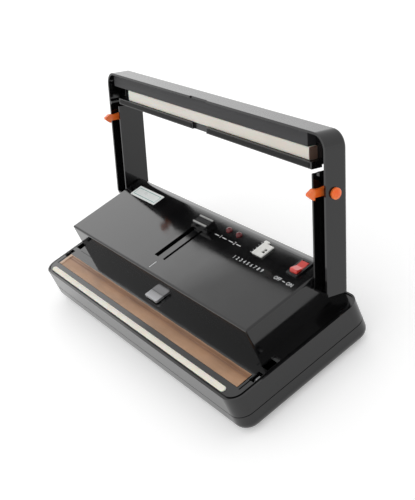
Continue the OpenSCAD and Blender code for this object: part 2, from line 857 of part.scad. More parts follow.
module transformer_core() {
    color([0.3, 0.3, 0.32]) seat() translate([core_at[0], core_at[1], core_z]) difference() {
        cube(core_size);
        for (x = [0.17, 0.58]) translate([core_size[0] * x, -1, core_size[2] * 0.2])
            cube([core_size[0] * 0.25, core_size[1] + 2, core_size[2] * 0.6]);
    }
}

module transformer_coil() {
    limb = core_size[0] * 0.16;
    mid = core_at[0] + core_size[0] / 2;
    low = core_z + core_size[2] * 0.2 + run_gap;
    high = core_z + core_size[2] * 0.8 - run_gap;
    color([0.8, 0.6, 0.2]) seat() difference() {
        box([mid - core_size[0] * 0.32, core_at[1] - coil_over, low],
            [mid + core_size[0] * 0.32, core_at[1] + core_size[1] + coil_over, high]);
        translate([mid, core_at[1], 0])
            box([-limb / 2 - 0.2, -0.2, low - 1], [limb / 2 + 0.2, core_size[1] + 0.2, high + 1]);
    }
}

module control_board() {
    color([0.1, 0.35, 0.2]) seat()
        box([board_x0, board_y0, board_z], [board_x1, board_y1, board_z + board_t]);
}

module board_components() {
    top = board_z + board_t;
    color([0.2, 0.2, 0.25]) seat() {
        translate([board_x0 + 26, board_y0 + 18, top]) cube(relay_size);
        for (i = [0:2]) translate([board_x0 + 54 + capacitor_step * i, board_y0 + 24, top])
            cylinder(h = capacitor_size[1], r = capacitor_size[0]);
        translate([board_x0 + 46, board_y0 + 30, top]) cube(chip_size);
    }
}

module indicator_lamps() {
    low = board_z + board_t;
    high = cover_top + 0.5;
    ball = (lamp_dome * lamp_dome + lamp_d * lamp_d / 4) / lamp_dome / 2;
    color(red) seat() at_each(lamp_spots, 0) {
        translate([0, 0, low]) cylinder(h = high - low, r = lamp_d / 2);
        translate([0, 0, high]) intersection() {
            translate([0, 0, lamp_dome - ball]) sphere(ball);
            cylinder(h = lamp_d, r = lamp_d / 2);
        }
    }
}

module time_selector() {
    color(dark) seat() difference() {
        box([timer_mid[0] - 6, timer_stem_y - timer_travel - 4, board_z + board_t],
            [timer_mid[0] + 6, timer_stem_y + timer_stem[1] + 4, cover_in - 1]);
        box([timer_mid[0] - timer_stem[0] / 2 - run_gap, timer_stem_y - timer_travel - run_gap, cover_in - 4],
            [timer_mid[0] + timer_stem[0] / 2 + run_gap, timer_stem_y + timer_stem[1] + run_gap, cover_in]);
    }
}

module timer_knob() {
    color(white) seat() {
        translate([timer_mid[0], timer_mid[1] - timer_d / 2, cover_top + run_gap]) {
            difference() {
                linear_extrude(timer_t) plan(timer_w, timer_d, 1, 1);
                translate([timer_tab - timer_w / 2, timer_d - 2.6, -1]) cube([timer_w, 3, timer_t + 2]);
                for (i = [0, 1]) translate([1.6, 4.8 + 2.9 * i, -1]) cube([4.2, 2.4, timer_t + 2]);
            }
            intersection() {
                linear_extrude(timer_t + 0.7) plan(timer_w, timer_d, 1, 1);
                translate([-timer_w / 2, timer_d - 2.4, 0]) cube([timer_tab, 3, timer_t + 2]);
            }
        }
        box([timer_mid[0] - timer_stem[0] / 2, timer_stem_y, cover_in - 3.5],
            [timer_mid[0] + timer_stem[0] / 2, timer_stem_y + timer_stem[1], cover_top + run_gap + e]);
    }
}

module switch_housing() {
    color(dark) seat() difference() {
        union() {
            translate([switch_mid[0], switch_mid[1] - switch_d / 2, cover_top])
                linear_extrude(bezel_h) plan(switch_w, switch_d, 1, 1);
            switch_body(cover_top - 18, cover_top + e);
        }
        translate([switch_mid[0], switch_mid[1], 0])
            box([-rocker_w / 2 - run_gap, -rocker_r - run_gap, rocker_z - rocker_r - run_gap],
                [rocker_w / 2 + run_gap, rocker_r + run_gap, cover_top + bezel_h + 1]);
        translate([switch_mid[0], 0, 0])
            x_bar(-rocker_w / 2 - 1.2, rocker_w / 2 + 1.2, switch_mid[1], rocker_z, 1 + shaft_gap);
    }
}

module switch_rocker() {
    color(red) seat() translate([switch_mid[0], switch_mid[1], rocker_z]) rotate([-rocker_tilt, 0, 0]) {
        intersection() {
            x_bar(-rocker_w / 2, rocker_w / 2, 0, 0, rocker_r);
            along_x(rocker_w) polygon([[-rocker_r, -rocker_r], [rocker_r, -rocker_r],
                [rocker_r, 5], [0, 3.2], [-rocker_r, 5]]);
        }
        x_bar(-rocker_w / 2 - 1, rocker_w / 2 + 1, 0, 0, 1);
    }
}

module blank_label() {
    color(white) seat() translate([label_at[0] + label_size[0] / 2, label_at[1], cover_top])
        linear_extrude(0.4) plan(label_size[0], label_size[1], 1, 1);
}

// ---- Lid switches ----

module lid_switches() {
    color(dark) seat() both_sides() difference() {
        box([micro_x - micro_w, micro_y, micro_z], [micro_x, micro_y + micro_len, micro_z + micro_h]);
        box([lever_x - lever_w - run_gap, lever_pivot[0] - 2.4, lever_pivot[1] - 3.2],
            [lever_x + run_gap, lever_pivot[0] + 2.4, lever_pivot[1] + 2]);
        x_bar(lever_x - lever_w - 1, lever_x + 1, lever_pivot[0], lever_pivot[1] - 2, 0.6 + shaft_gap);
    }
}

// The sprung metal lever that the lid's post presses; its axle turns in the switch body
module switch_lever() {
    translate([0, lever_pivot[0], lever_pivot[1] - 2]) {
        x_bar(lever_x - lever_w, lever_x, 0, 0, 1.2);
        x_bar(lever_x - lever_w - 0.8, lever_x + 0.8, 0, 0, 0.6);
    }
    translate([lever_x - lever_w / 2, 0, 0]) along_x(lever_w) polygon([
        [lever_pivot[0] - 0.8, lever_pivot[1] - 1.5], [lever_pivot[0] + 0.8, lever_pivot[1] - 1.5],
        [lever_pivot[0] + 3.2, lever_pivot[1] + 0.6], [switch_slot[3] - 3, lever_top - 1],
        [switch_slot[3] - 2, lever_top - 2.4], [switch_slot[3] - 1, lever_top - 2.4],
        [switch_slot[3] - 2, lever_top], [switch_slot[3] - 6.4, lever_top],
        [lever_pivot[0] + 2.6, lever_pivot[1] + 1.6], [lever_pivot[0] - 0.8, lever_pivot[1] - 0.8]]);
}

module left_switch_lever() {
    color(steel) seat() mirror([1, 0, 0]) switch_lever();
}

module right_switch_lever() {
    color(steel) seat() switch_lever();
}

// ---- Lid ----

// Height of the lid's top at a distance from the outer face
function top_at(d, inset) =
    min(lid_edge_z + tan(slope) * max(d - ledge_w, 0), lid_top_z) - inset;

// The lid's solid form from a level up, drawn in by a distance, before the window is cut
module lid_form(inset, r, low) {
    high = lid_edge_z - inset;
    difference() {
        union() {
            translate([0, inset, high]) mirror([0, 0, 1])
                tub(base_w - 2 * inset, lid_back + 2 * corner_r, high - low, corner_r - inset, r);
            intersection() {
                along_x(base_w - 2 * ledge_w) raised_edge(inset, low, lid_back);
                both_sides() translate([-base_w / 2, 0, 0]) along_y(lid_back)
                    raised_edge(inset, low, base_w / 2 + 1);
            }
        }
        box([-base_w, lid_back - inset, 0], [base_w, lid_back + 3 * corner_r, 2 * lid_top_z]);
    }
}

// Section of the raised inner part: its slope from the ledge, then level
module raised_edge(inset, low, end) {
    shift = inset * tan(slope / 2);
    low_edge = ledge_w + shift;
    high = lid_top_z - inset;
    polygon([[low_edge, low], [low_edge, lid_edge_z - inset], [crest_in + shift, high],
        [end, high], [end, low]]);
}

module lid_shell() {
    color(black) seat() open_lid() difference() {
        union() {
            difference() {
                lid_form(0, edge_r, skirt_z);
                lid_hollow();
                lid_window();
            }
            intersection() {
                lid_form(lid_wall / 2, 1, skirt_z + 2);
                lid_bosses();
            }
            both_sides() box([lever_x - lever_w, switch_slot[2] + 4.5, lever_top + 0.4],
                [lever_x, switch_slot[2] + 7.5, top_at(base_w / 2 - lever_x, lid_wall) + 1]);
        }
        both_sides() {
            x_bar(arm_x - 1, arm_x + pin_out, hinge_y, hinge_z, pin_r);
            x_bar(side_x - 5, base_w / 2 + 1, latch_y, latch_z, shaft_r + shaft_gap);
        }
        for (x = screw_xs) translate([x, screw_y, holder_z]) cylinder(h = 10, r = 1.25);
        tail_cut();
        box([-15, -1, skirt_z - 1], [15, lid_wall + 1, skirt_z + 1.2]);
    }
}

// The channel inside the front bar and the arms
module lid_hollow() {
    intersection() {
        lid_form(lid_wall, 1, skirt_z - 1);
        union() {
            box([-base_w, 0, 0], [base_w, bar_d - bar_wall, 2 * lid_top_z]);
            both_sides() box([arm_x + arm_wall, 0, 0], [base_w, lid_back - lid_wall, 2 * lid_top_z]);
            box([-base_w, 0, 0], [base_w, lid_back - lid_wall, skirt_z + 1.3]);
            both_sides() box([0, 0, 0], [base_w, bar_d + 3, lid_edge_z - 3]);
        }
    }
    box([-arm_x, bar_d - 3, 0], [arm_x, bar_d + 1, holder_z]);
}

module lid_window() {
    box([-arm_x, bar_d, 0], [arm_x, base_d + 20, 2 * lid_top_z]);
}

module lid_bosses() {
    both_sides() {
        x_bar(arm_x + e, arm_x + pin_out + 2, hinge_y, hinge_z, hinge_boss_r);
        x_bar(hook_out + run_gap, side_x + 1, latch_y, latch_z, shaft_r + 2.5);
    }
    for (x = screw_xs) translate([x, screw_y, holder_z + holder_t]) cylinder(h = 30, r = 3.5);
}

// The lower corner behind the hinge line is rounded so that it swings clear of the deck
module tail_cut() {
    difference() {
        box([-base_w, hinge_y, 0], [base_w, hinge_y + 20, hinge_z]);
        x_bar(-base_w, base_w, hinge_y, hinge_z, hinge_up - step_h - run_gap);
    }
}

// The plate behind the rubber and the rail behind it, in one piece
module rubber_holder() {
    color(black) seat() open_lid() difference() {
        union() {
            translate([-holder_len / 2, press_y, holder_z])
                cube([holder_len, bar_d - bar_wall - run_gap - press_y, holder_t]);
            translate([-holder_len / 2, rail_y, rail_z])
                cube([holder_len, bar_d - rail_y, holder_z - rail_z]);
        }
        gasket_bars(rail_z - 1);
        nozzle_notch();
        for (x = screw_xs) translate([x, screw_y, holder_z - 1]) {
            cylinder(h = holder_t + 2, r = 1.4);
            cylinder(h = 2, r = 2.6);
        }
    }
}

// The way for the nozzle under the rail
module nozzle_notch() {
    translate([nozzle_x, 0, 0])
        box([-nozzle_side - 1.2, rail_y - 1, rail_z - 1], [nozzle_side + 1.2, bar_d + 1, nozzle_top + 0.6]);
}

module seal_rubber() {
    color(cream) seat() open_lid() difference() {
        translate([rubber_x - rubber_len / 2, rubber_y, rubber_z]) cube([rubber_len, rubber_w, rubber_h]);
        for (x = screw_xs) translate([x, screw_y, holder_z - 1]) cylinder(h = 2, r = 2.6);
    }
}

// The bar that meets the foam strip, in front of the rubber
module press_bar() {
    color(black) seat() open_lid() intersection() {
        translate([0, 0, rubber_z]) linear_extrude(rubber_h) base_plan(press_y);
        box([press_ends[0], 0, 0], [press_ends[1], rubber_y - run_gap, lid_top_z]);
    }
}

module vacuum_gaskets() {
    color(black) seat() open_lid() gasket_bars(gasket_z);
}

// Both stretches of the gasket, from a level up to the floor of their groove
module gasket_bars(low) {
    for (span = gasket_spans)
        box([span[0], gasket_y, low], [span[1], gasket_y + gasket_w, gasket_z + gasket_deep]);
}

module lid_screws() {
    color(steel) seat() open_lid() for (x = screw_xs) translate([x, screw_y, holder_z + 1]) {
        cylinder(h = holder_screw_len, r = holder_screw_r);
        translate([0, 0, -holder_head[1]]) cylinder(h = holder_head[1], r = holder_head[0]);
    }
}

module hinge_pins() {
    color(steel) seat() both_sides()
        x_bar(cover_w / 2 - pin_in + 1, arm_x + pin_out, hinge_y, hinge_z, pin_r);
}

module hinge_bushes() {
    color(cream) seat() both_sides() difference() {
        union() {
            x_bar(cover_w / 2 - pin_in, cover_w / 2, hinge_y, hinge_z, bush_r);
            x_bar(cover_w / 2, cover_w / 2 + bush_flange, hinge_y, hinge_z, bush_r + 1.2);
        }
        x_bar(cover_w / 2 - pin_in - 1, cover_w / 2 + 2, hinge_y, hinge_z, pin_r + shaft_gap);
    }
}

// ---- Latches ----

// The flat hook: an eye on the shaft, a neck and an arrow head with a shoulder at the rear
module latch_hook() {
    tip = latch_z - 20.8;
    difference() {
        translate([hook_out - hook_t / 2, 0, 0]) along_x(hook_t) union() {
            translate([latch_y, latch_z]) circle(5);
            translate([latch_y, 0]) polygon([[-4.6, latch_z], [-3.5, latch_z - 6], [-3.5, shoulder_z + 3.4],
                [-4.4, shoulder_z], [-4.4, shoulder_z - 1.6], [-1.4, tip], [0.6, tip],
                [hook_rear, shoulder_z - 1.8], [hook_rear, shoulder_z], [neck_rear, shoulder_z],
                [neck_rear, latch_z - 6], [4.6, latch_z]]);
        }
        x_bar(hook_out - hook_t - 1, hook_out + 1, latch_y, latch_z, shaft_r);
    }
}

// The knob outside the arm, in one piece with the shaft
module latch_knob() {
    base = base_w / 2 + run_gap;
    x_bar(hook_out - hook_t, base + e, latch_y, latch_z, shaft_r);
    translate([base, latch_y, latch_z]) rotate([0, 90, 0]) rotate_extrude() intersection() {
        translate([0, knob_out - run_gap - knob_d * 0.72]) circle(knob_d * 0.72);
        square([knob_d / 2, knob_out]);
    }
}

module left_latch_hook() {
    color(orange) seat() open_lid() mirror([1, 0, 0]) latch_hook();
}

module left_latch_knob() {
    color(orange) seat() open_lid() mirror([1, 0, 0]) latch_knob();
}

module right_latch_hook() {
    color(orange) seat() open_lid() latch_hook();
}

module right_latch_knob() {
    color(orange) seat() open_lid() latch_knob();
}

lower_shell();
upper_shell();
housing_cover();
rubber_feet();
base_screws();
cover_screws();
cord_gland();
seal_bar();
insulating_strip();
heating_band();
band_terminals();
nonstick_cloth();
foam_strip();
latch_catches();
catch_screws();
suction_nozzle();
nozzle_carriage();
slider_knob();
nozzle_guide();
suction_pipe();
vacuum_hose();
pump_head();
pump_motor();
transformer_core();
transformer_coil();
control_board();
board_components();
indicator_lamps();
time_selector();
timer_knob();
switch_housing();
switch_rocker();
blank_label();
lid_switches();
left_switch_lever();
right_switch_lever();
hinge_bushes();
lid_shell();
rubber_holder();
seal_rubber();
press_bar();
vacuum_gaskets();
lid_screws();
hinge_pins();
left_latch_hook();
left_latch_knob();
right_latch_hook();
right_latch_knob();
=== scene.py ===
# %% [markdown]
# # A table-top vacuum sealer
# The sealer is a black moulded box with a frame-shaped lid that stands open behind it. The solids
# come from the part's source, so this lesson only dresses them: finishes first, then the soft
# strips of the sealing line, the screws, the printing on the panel, and a plain studio.

# %% Load the solids
import bpy, bmesh, json, math
from mathutils import Matrix, Vector


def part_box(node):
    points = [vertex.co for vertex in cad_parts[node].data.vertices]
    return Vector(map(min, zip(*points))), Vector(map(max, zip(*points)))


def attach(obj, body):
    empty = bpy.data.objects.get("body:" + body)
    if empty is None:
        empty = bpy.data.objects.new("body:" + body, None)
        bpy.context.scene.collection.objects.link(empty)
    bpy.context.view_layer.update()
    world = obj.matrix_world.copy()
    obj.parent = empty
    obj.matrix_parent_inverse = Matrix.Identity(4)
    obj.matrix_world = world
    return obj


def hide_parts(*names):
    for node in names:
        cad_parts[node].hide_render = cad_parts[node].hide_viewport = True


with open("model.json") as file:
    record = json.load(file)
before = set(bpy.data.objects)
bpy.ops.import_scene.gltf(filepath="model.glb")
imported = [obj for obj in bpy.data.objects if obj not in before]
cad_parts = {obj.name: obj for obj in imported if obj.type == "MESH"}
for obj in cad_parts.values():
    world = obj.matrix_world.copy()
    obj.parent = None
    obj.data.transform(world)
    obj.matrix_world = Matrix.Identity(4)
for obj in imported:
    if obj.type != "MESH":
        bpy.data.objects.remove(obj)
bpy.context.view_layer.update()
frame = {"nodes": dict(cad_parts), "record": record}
nodes = frame["nodes"]
MM = 0.001


def placed(name, data):
    """A new object in the scene."""
    made = bpy.data.objects.new(name, data)
    bpy.context.scene.collection.objects.link(made)
    return made

# %% [markdown]
# ## The camera
# The camera stands to the right of the sealer, looks down on it by about 30 degrees and leans to
# one side, so the base runs down to the right and the lid leans away. The direction and the lean
# are given as the camera's own right, up and back axes, which make a rotation directly.

# %% Set the camera
camera_place = Vector((0.790971, -0.278933, 0.549693))
right_axis = Vector((0.52404, 0.76277, -0.37893))
up_axis = Vector((-0.27318, 0.57194, 0.77349))
back_axis = right_axis.cross(up_axis)
camera = placed("camera", bpy.data.cameras.new("camera"))
camera.matrix_world = Matrix.Translation(camera_place) @ Matrix(
    (right_axis, up_axis, back_axis)).transposed().to_4x4()
camera.data.sensor_fit = "VERTICAL"
camera.data.sensor_height = 24
camera.data.lens = 48.116
camera.data.clip_start = 0.05
bpy.context.scene.camera = camera
print("camera", camera_place.length, "m from the sealer's middle, lens", camera.data.lens, "mm")

# %% [markdown]
# ## Writing a material
# Every finish below is a small node tree. One function turns a colour as it is written on a
# paint card into the linear numbers that the shader wants, and one function adds a node with its
# settings and links. Patterns read Object coordinates, multiplied so that one step of the pattern
# is a stated number of millimetres on the real piece.

# %% Colours and nodes
def linear(code):
    """A colour written as on a paint card, turned into linear numbers."""
    parts = [int(code[i:i + 2], 16) / 255 for i in (0, 2, 4)]
    return (*[c / 12.92 if c <= 0.04045 else ((c + 0.055) / 1.055) ** 2.4 for c in parts], 1)


def add(tree, kind, inputs={}, **settings):
    """A node with its settings. An input is a link from another node, or a plain value."""
    node = tree.nodes.new(kind)
    for key, value in settings.items():
        setattr(node, key, value)
    for key, value in inputs.items():
        if isinstance(value, bpy.types.NodeSocket):
            tree.links.new(value, node.inputs[key])
        else:
            node.inputs[key].default_value = value
    return node


def finish_of(name, colour, roughness, **more):
    """A material with the constants of its shader set, and nothing varied yet."""
    material = bpy.data.materials.new(name)
    material.use_nodes = True
    tree = material.node_tree
    shader = tree.nodes["Principled BSDF"]
    shader.inputs["Base Color"].default_value = linear(colour)
    shader.inputs["Roughness"].default_value = roughness
    for key, value in more.items():
        shader.inputs[key.replace("_", " ")].default_value = value
    return material, tree, shader


print("black reads as", linear("0e0e0f")[:3])

# %% Patterns in millimetres
def in_mm(tree, step=1, stretch=(1, 1, 1)):
    """Object coordinates on which one unit is a step in millimetres, stretched along an axis."""
    place = add(tree, "ShaderNodeTexCoord")
    sizes = {"Vector": place.outputs["Object"], "Scale": [1 / (MM * step * s) for s in stretch]}
    return add(tree, "ShaderNodeMapping", sizes).outputs["Vector"]


def grain(tree, step, detail=2.0, stretch=(1, 1, 1)):
    """Soft irregular patches of about one step across."""
    noise = {"Vector": in_mm(tree, step, stretch), "Scale": 1.0, "Detail": detail, "Roughness": 0.5}
    return add(tree, "ShaderNodeTexNoise", noise).outputs["Fac"]


def spread(low, high, start=0.3, end=0.7):
    """Limits that stretch the part of a pattern from start to end over the range from low to high."""
    return {"From Min": start, "From Max": end, "To Min": low, "To Max": high}


def bumped(tree, shader, source, height):
    """Relief of a height in millimetres."""
    relief = add(tree, "ShaderNodeBump", {"Height": source, "Strength": 1.0, "Distance": height * MM})
    tree.links.new(relief.outputs["Normal"], shader.inputs["Normal"])


print("from 0.07 to 0.13 is written as", spread(0.07, 0.13))

# %% [markdown]
# ## Black ABS
# The shells, the housing and the lid are injection moulded in a polished mould. ABS has an index
# of about 1.54. What the eye reads as its colour is nearly all reflection, so the base colour
# stays close to black, and the roughness is low and drifts a little, where the melt cooled at
# different speeds. Handling leaves hairline scratches that only show in a highlight.

# %% Polished and matt ABS
def dress(material, *names):
    """Gives a material to nodes that keep their own shape."""
    for name in names:
        data = nodes[name].data
        data.materials.clear()
        data.materials.append(material)
    print(material.name, "on", ", ".join(names))


def moulded(name, colour, low, high, patch=35, wave=6, height=0.004):
    material, tree, shader = finish_of(name, colour, low, IOR=1.54)
    gloss = add(tree, "ShaderNodeMapRange", {"Value": grain(tree, patch, 3), **spread(low, high)})
    lines = grain(tree, 1.2, 1, (18, 1, 1))
    hair = add(tree, "ShaderNodeMapRange", {"Value": lines, **spread(0, 0.03, 0.62, 0.8)})
    total = add(tree, "ShaderNodeMath", {0: gloss.outputs["Result"], 1: hair.outputs["Result"]},
                operation="ADD")
    tree.links.new(total.outputs["Value"], shader.inputs["Roughness"])
    bumped(tree, shader, grain(tree, wave, 1), height)
    return material


polished_abs = moulded("polished_black_abs", "0e0e0f", 0.07, 0.13)
satin_abs = moulded("satin_black_abs", "131314", 0.22, 0.32, 20, 3, 0.006)
sparked_abs = moulded("spark_eroded_black_abs", "141416", 0.42, 0.55, 12, 0.5, 0.02)
dress(polished_abs, "lower_shell", "upper_shell", "housing_cover", "lid_shell")
dress(satin_abs, "rubber_holder", "switch_housing")
dress(sparked_abs, "cord_gland", "nozzle_carriage", "nozzle_guide", "time_selector", "lid_switches")

# %% [markdown]
# ## The slider's knob with painted highlights on its lips
# A thumb pushes this knob forward and back. The two lips on its top are painted pale as highlights,
# while the ribs between them stay black. Place picks them out: the colour turns pale over the last
# millimetre below the knob's top, on both sides of the dish, broken up by a fine grain.

# %% ABS with painted highlights on the lips
def tint(tree, shader, source, *shades, places=(0.3, 0.7)):
    """Colours the surface along a pattern, with each shade at its place from 0 to 1."""
    ramp = add(tree, "ShaderNodeValToRGB", {"Fac": source})
    for i, (place, code) in enumerate(zip(places, shades)):
        stop = ramp.color_ramp.elements[i] if i < 2 else ramp.color_ramp.elements.new(place)
        stop.position, stop.color = place, linear(code)
    tree.links.new(ramp.outputs["Color"], shader.inputs["Base Color"])
    return ramp.outputs["Color"]


# The knob's lips are painted pale over their top millimetre as a painted highlight; the ribs stay black.
lip_highlight_abs = moulded("lip_highlight_black_abs", "131314", 0.16, 0.24, 10, 2)
tree = lip_highlight_abs.node_tree
knob_low, knob_high = [corner / MM for corner in map(Vector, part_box("slider_knob"))]
dish_middle, dish_half = (knob_low.y + knob_high.y) / 2 + 1, 3.05
spot = add(tree, "ShaderNodeSeparateXYZ", {"Vector": in_mm(tree)}).outputs
near_top = add(tree, "ShaderNodeMapRange",
               {"Value": spot["Z"], **spread(0, 1, knob_high.z - 0.9, knob_high.z - 0.3)}).outputs["Result"]
in_dish = add(tree, "ShaderNodeMath", {0: spot["Y"], 1: dish_middle, 2: dish_half}, operation="COMPARE")
on_lip = add(tree, "ShaderNodeMath", {0: near_top, 1: in_dish.outputs["Value"]}, operation="SUBTRACT",
             use_clamp=True)
patchy = add(tree, "ShaderNodeMapRange", {"Value": grain(tree, 1.2, 3), **spread(0.7, 1.0)})
painted_lip_highlight = add(tree, "ShaderNodeMath", {0: on_lip.outputs["Value"], 1: patchy.outputs["Result"]},
             operation="MULTIPLY")
tint(tree, tree.nodes["Principled BSDF"], painted_lip_highlight.outputs["Value"], "131314", "b4b4b2", places=(0, 1))
dress(lip_highlight_abs, "slider_knob")
print("dish", round(2 * dish_half, 1), "mm wide between the lips")

# %% [markdown]
# ## Coloured plastics
# The latches are acetal, which has a waxy surface and lets a little light in. The rocker and the
# lamps are clear red plastic over a dark inside. The time slider's knob and the hinge bushes are
# plain white and natural mouldings, a little yellow from the nylon.

# %% Acetal and red plastics
def polish(tree, shader, source, low, high):
    """Lets the roughness drift between two levels."""
    level = add(tree, "ShaderNodeMapRange", {"Value": source, **spread(low, high)})
    tree.links.new(level.outputs["Result"], shader.inputs["Roughness"])


orange_acetal, tree, shader = finish_of("orange_acetal", "ff7426", 0.2, IOR=1.48, Subsurface_Weight=0.15,
                                        Subsurface_Scale=2 * MM)
tint(tree, shader, grain(tree, 6), "fa6820", "ff8238")
bumped(tree, shader, grain(tree, 1.5), 0.01)
dress(orange_acetal, "left_latch_hook", "left_latch_knob", "right_latch_hook", "right_latch_knob")

red_rocker, tree, shader = finish_of("clear_red_polycarbonate", "e0463e", 0.3, IOR=1.58,
                                     Subsurface_Weight=0.5, Subsurface_Scale=3 * MM,
                                     Subsurface_Radius=(1.0, 0.1, 0.08))
polish(tree, shader, grain(tree, 8), 0.26, 0.36)
bumped(tree, shader, grain(tree, 2), 0.006)
dress(red_rocker, "switch_rocker")

red_lens, tree, shader = finish_of("red_epoxy_lens", "62040e", 0.08, IOR=1.56, Subsurface_Weight=0.15,
                                   Subsurface_Scale=2 * MM, Subsurface_Radius=(1.0, 0.08, 0.08))
polish(tree, shader, grain(tree, 3), 0.06, 0.14)
dress(red_lens, "indicator_lamps")

# %% White and natural plastics
white_knob, tree, shader = finish_of("white_abs", "eeeeea", 0.28, IOR=1.54)
tint(tree, shader, grain(tree, 9), "e8e8e4", "f2f2ee")
bumped(tree, shader, grain(tree, 1.0), 0.012)
dress(white_knob, "timer_knob")

natural_nylon, tree, shader = finish_of("natural_nylon", "ded8c4", 0.38, IOR=1.53, Subsurface_Weight=0.2,
                                        Subsurface_Scale=2 * MM)
tint(tree, shader, grain(tree, 4), "d8d0ba", "e4decd")
dress(natural_nylon, "hinge_bushes")

label_film, tree, shader = finish_of("white_label_film", "f0f4f2", 0.32, IOR=1.5)
bumped(tree, shader, grain(tree, 3), 0.01)
polish(tree, shader, grain(tree, 12), 0.26, 0.38)
dress(label_film, "blank_label")

# %% [markdown]
# ## Metals
# The nozzle is satin nickel plate, the levers and pins are plain drawn steel, the screws are zinc
# plated with the faint blue cast of that bath, and the heated band is nickel-chromium wire rolled
# flat. Drawing and rolling leave fine lines along one direction, so their pattern is stretched.

# %% Plated and drawn metals
def metal(name, colour, low, high, lines=(1, 1, 1), step=0.5, height=0.004):
    material, tree, shader = finish_of(name, colour, low, Metallic=1.0)
    pattern = grain(tree, step, 2, lines)
    polish(tree, shader, pattern, low, high)
    bumped(tree, shader, pattern, height)
    return material


nickel_plate = metal("satin_nickel_plate", "e6e6e8", 0.4, 0.55, (1, 20, 1), 0.8)
drawn_steel = metal("drawn_steel", "b9babb", 0.28, 0.42, (25, 1, 1))
zinc_plate = metal("zinc_plated_steel", "c3c8cc", 0.25, 0.4)
band_alloy = metal("rolled_nickel_chromium", "a49f97", 0.3, 0.45, (30, 1, 1))
soft_brass = metal("stamped_brass", "c9a24a", 0.25, 0.4)
motor_can = metal("zinc_coated_motor_can", "aeb2b6", 0.25, 0.38, (30, 1, 1))
dress(nickel_plate, "suction_nozzle")
dress(drawn_steel, "suction_pipe", "hinge_pins", "left_switch_lever", "right_switch_lever", "latch_catches")
dress(zinc_plate, "base_screws", "cover_screws", "catch_screws", "lid_screws")
dress(band_alloy, "heating_band")
dress(soft_brass, "band_terminals")
dress(motor_can, "pump_motor")

# %% [markdown]
# ## The laminated core
# A transformer's core is a stack of varnished steel sheets half a millimetre thick. At this size
# the sheets would blur, so the lines are drawn a millimetre apart: a sine along the depth darkens
# each joint and gives it a shallow groove.

# %% Core and coil
def stripes(tree, axis, pitch):
    """A wave from 0 to 1 along one axis, with its crests one pitch in millimetres apart."""
    parts = add(tree, "ShaderNodeSeparateXYZ", {"Vector": in_mm(tree, pitch / (2 * math.pi))})
    wave = add(tree, "ShaderNodeMath", {0: parts.outputs[axis]}, operation="SINE").outputs["Value"]
    return add(tree, "ShaderNodeMapRange", {"Value": wave, **spread(0, 1, -1, 1)}).outputs["Result"]


laminated_steel, tree, shader = finish_of("laminated_core_steel", "34353a", 0.45, Metallic=0.6)
sheets = stripes(tree, "Y", 1.0)
tint(tree, shader, sheets, "1d1e22", "44464c")
bumped(tree, shader, sheets, 0.1)
dress(laminated_steel, "transformer_core")

coil_tape, tree, shader = finish_of("polyester_coil_tape", "c9962e", 0.35, IOR=1.57)
wraps = stripes(tree, "Z", 9.0)
tint(tree, shader, wraps, "b88420", "d7a63c")
bumped(tree, shader, wraps, 0.15)
dress(coil_tape, "transformer_coil")

# %% [markdown]
# ## Board, resins and hose
# The board is copper under green solder resist, and its tracks show as faint raised runs. Its
# components are in black package resin. The pump's head is nylon filled with short glass, which
# leaves streaks, and the bar under the heated band is phenolic resin, brown and matt. The hose is
# clear silicone, which lets light through but scatters some of it.

# %% Board, resins and hose
green_board, tree, shader = finish_of("green_solder_resist", "1d5c33", 0.3, IOR=1.5)
tracks = add(tree, "ShaderNodeTexBrick", {"Vector": in_mm(tree, 3.0), "Scale": 1.0, "Mortar Size": 0.12})
tint(tree, shader, tracks.outputs["Fac"], "174e2a", "2b7445")
bumped(tree, shader, tracks.outputs["Fac"], 0.04)
dress(green_board, "control_board")

package_resin, tree, shader = finish_of("moulded_package_resin", "1b1b1f", 0.5, IOR=1.5)
bumped(tree, shader, grain(tree, 0.6), 0.02)
tint(tree, shader, grain(tree, 5), "17171b", "232327")
dress(package_resin, "board_components")

pump_nylon, tree, shader = finish_of("glass_filled_nylon", "1e1f22", 0.5, IOR=1.53)
tint(tree, shader, grain(tree, 0.7, 4, (6, 1, 1)), "18191c", "2a2b2f")
bumped(tree, shader, grain(tree, 0.7, 4, (6, 1, 1)), 0.02)
dress(pump_nylon, "pump_head")

bar_resin, tree, shader = finish_of("phenolic_bar", "2c241f", 0.5, IOR=1.6)
tint(tree, shader, grain(tree, 2, 4), "241d19", "3a302a")
dress(bar_resin, "seal_bar")

clear_hose, tree, shader = finish_of("clear_silicone_hose", "d7dad5", 0.25, IOR=1.41, Transmission_Weight=0.5,
                                     Subsurface_Weight=0.2, Subsurface_Scale=3 * MM)
bumped(tree, shader, grain(tree, 4), 0.03)
dress(clear_hose, "vacuum_hose")


# %% [markdown]
# ## Black foams and rubber
# The gaskets are nearly black foam with open pores. The press bar is a denser grey foam that was
# pulled through a die, so its patches are drawn long. The feet are plain moulded rubber.

# %% Foams and rubber
def rubber(name, colour, light, roughness, pore, stretch=(1, 1, 1)):
    material, tree, shader = finish_of(name, colour, roughness, IOR=1.5, Sheen_Weight=0.1,
                                       Sheen_Roughness=0.5)
    tint(tree, shader, grain(tree, 7, 4, stretch), colour, light)
    bumped(tree, shader, grain(tree, pore, 3), 0.03)
    return material


gasket_foam = rubber("black_gasket_foam", "050506", "09090a", 0.9, 0.8)
press_foam = rubber("dense_grey_foam", "1e1e20", "2c2c2f", 0.6, 0.8, (12, 0.4, 0.4))
foot_rubber = rubber("dark_foot_rubber", "1c1c1d", "272728", 0.7, 0.6)
dress(gasket_foam, "vacuum_gaskets")
dress(press_foam, "press_bar")
dress(foot_rubber, "rubber_feet")
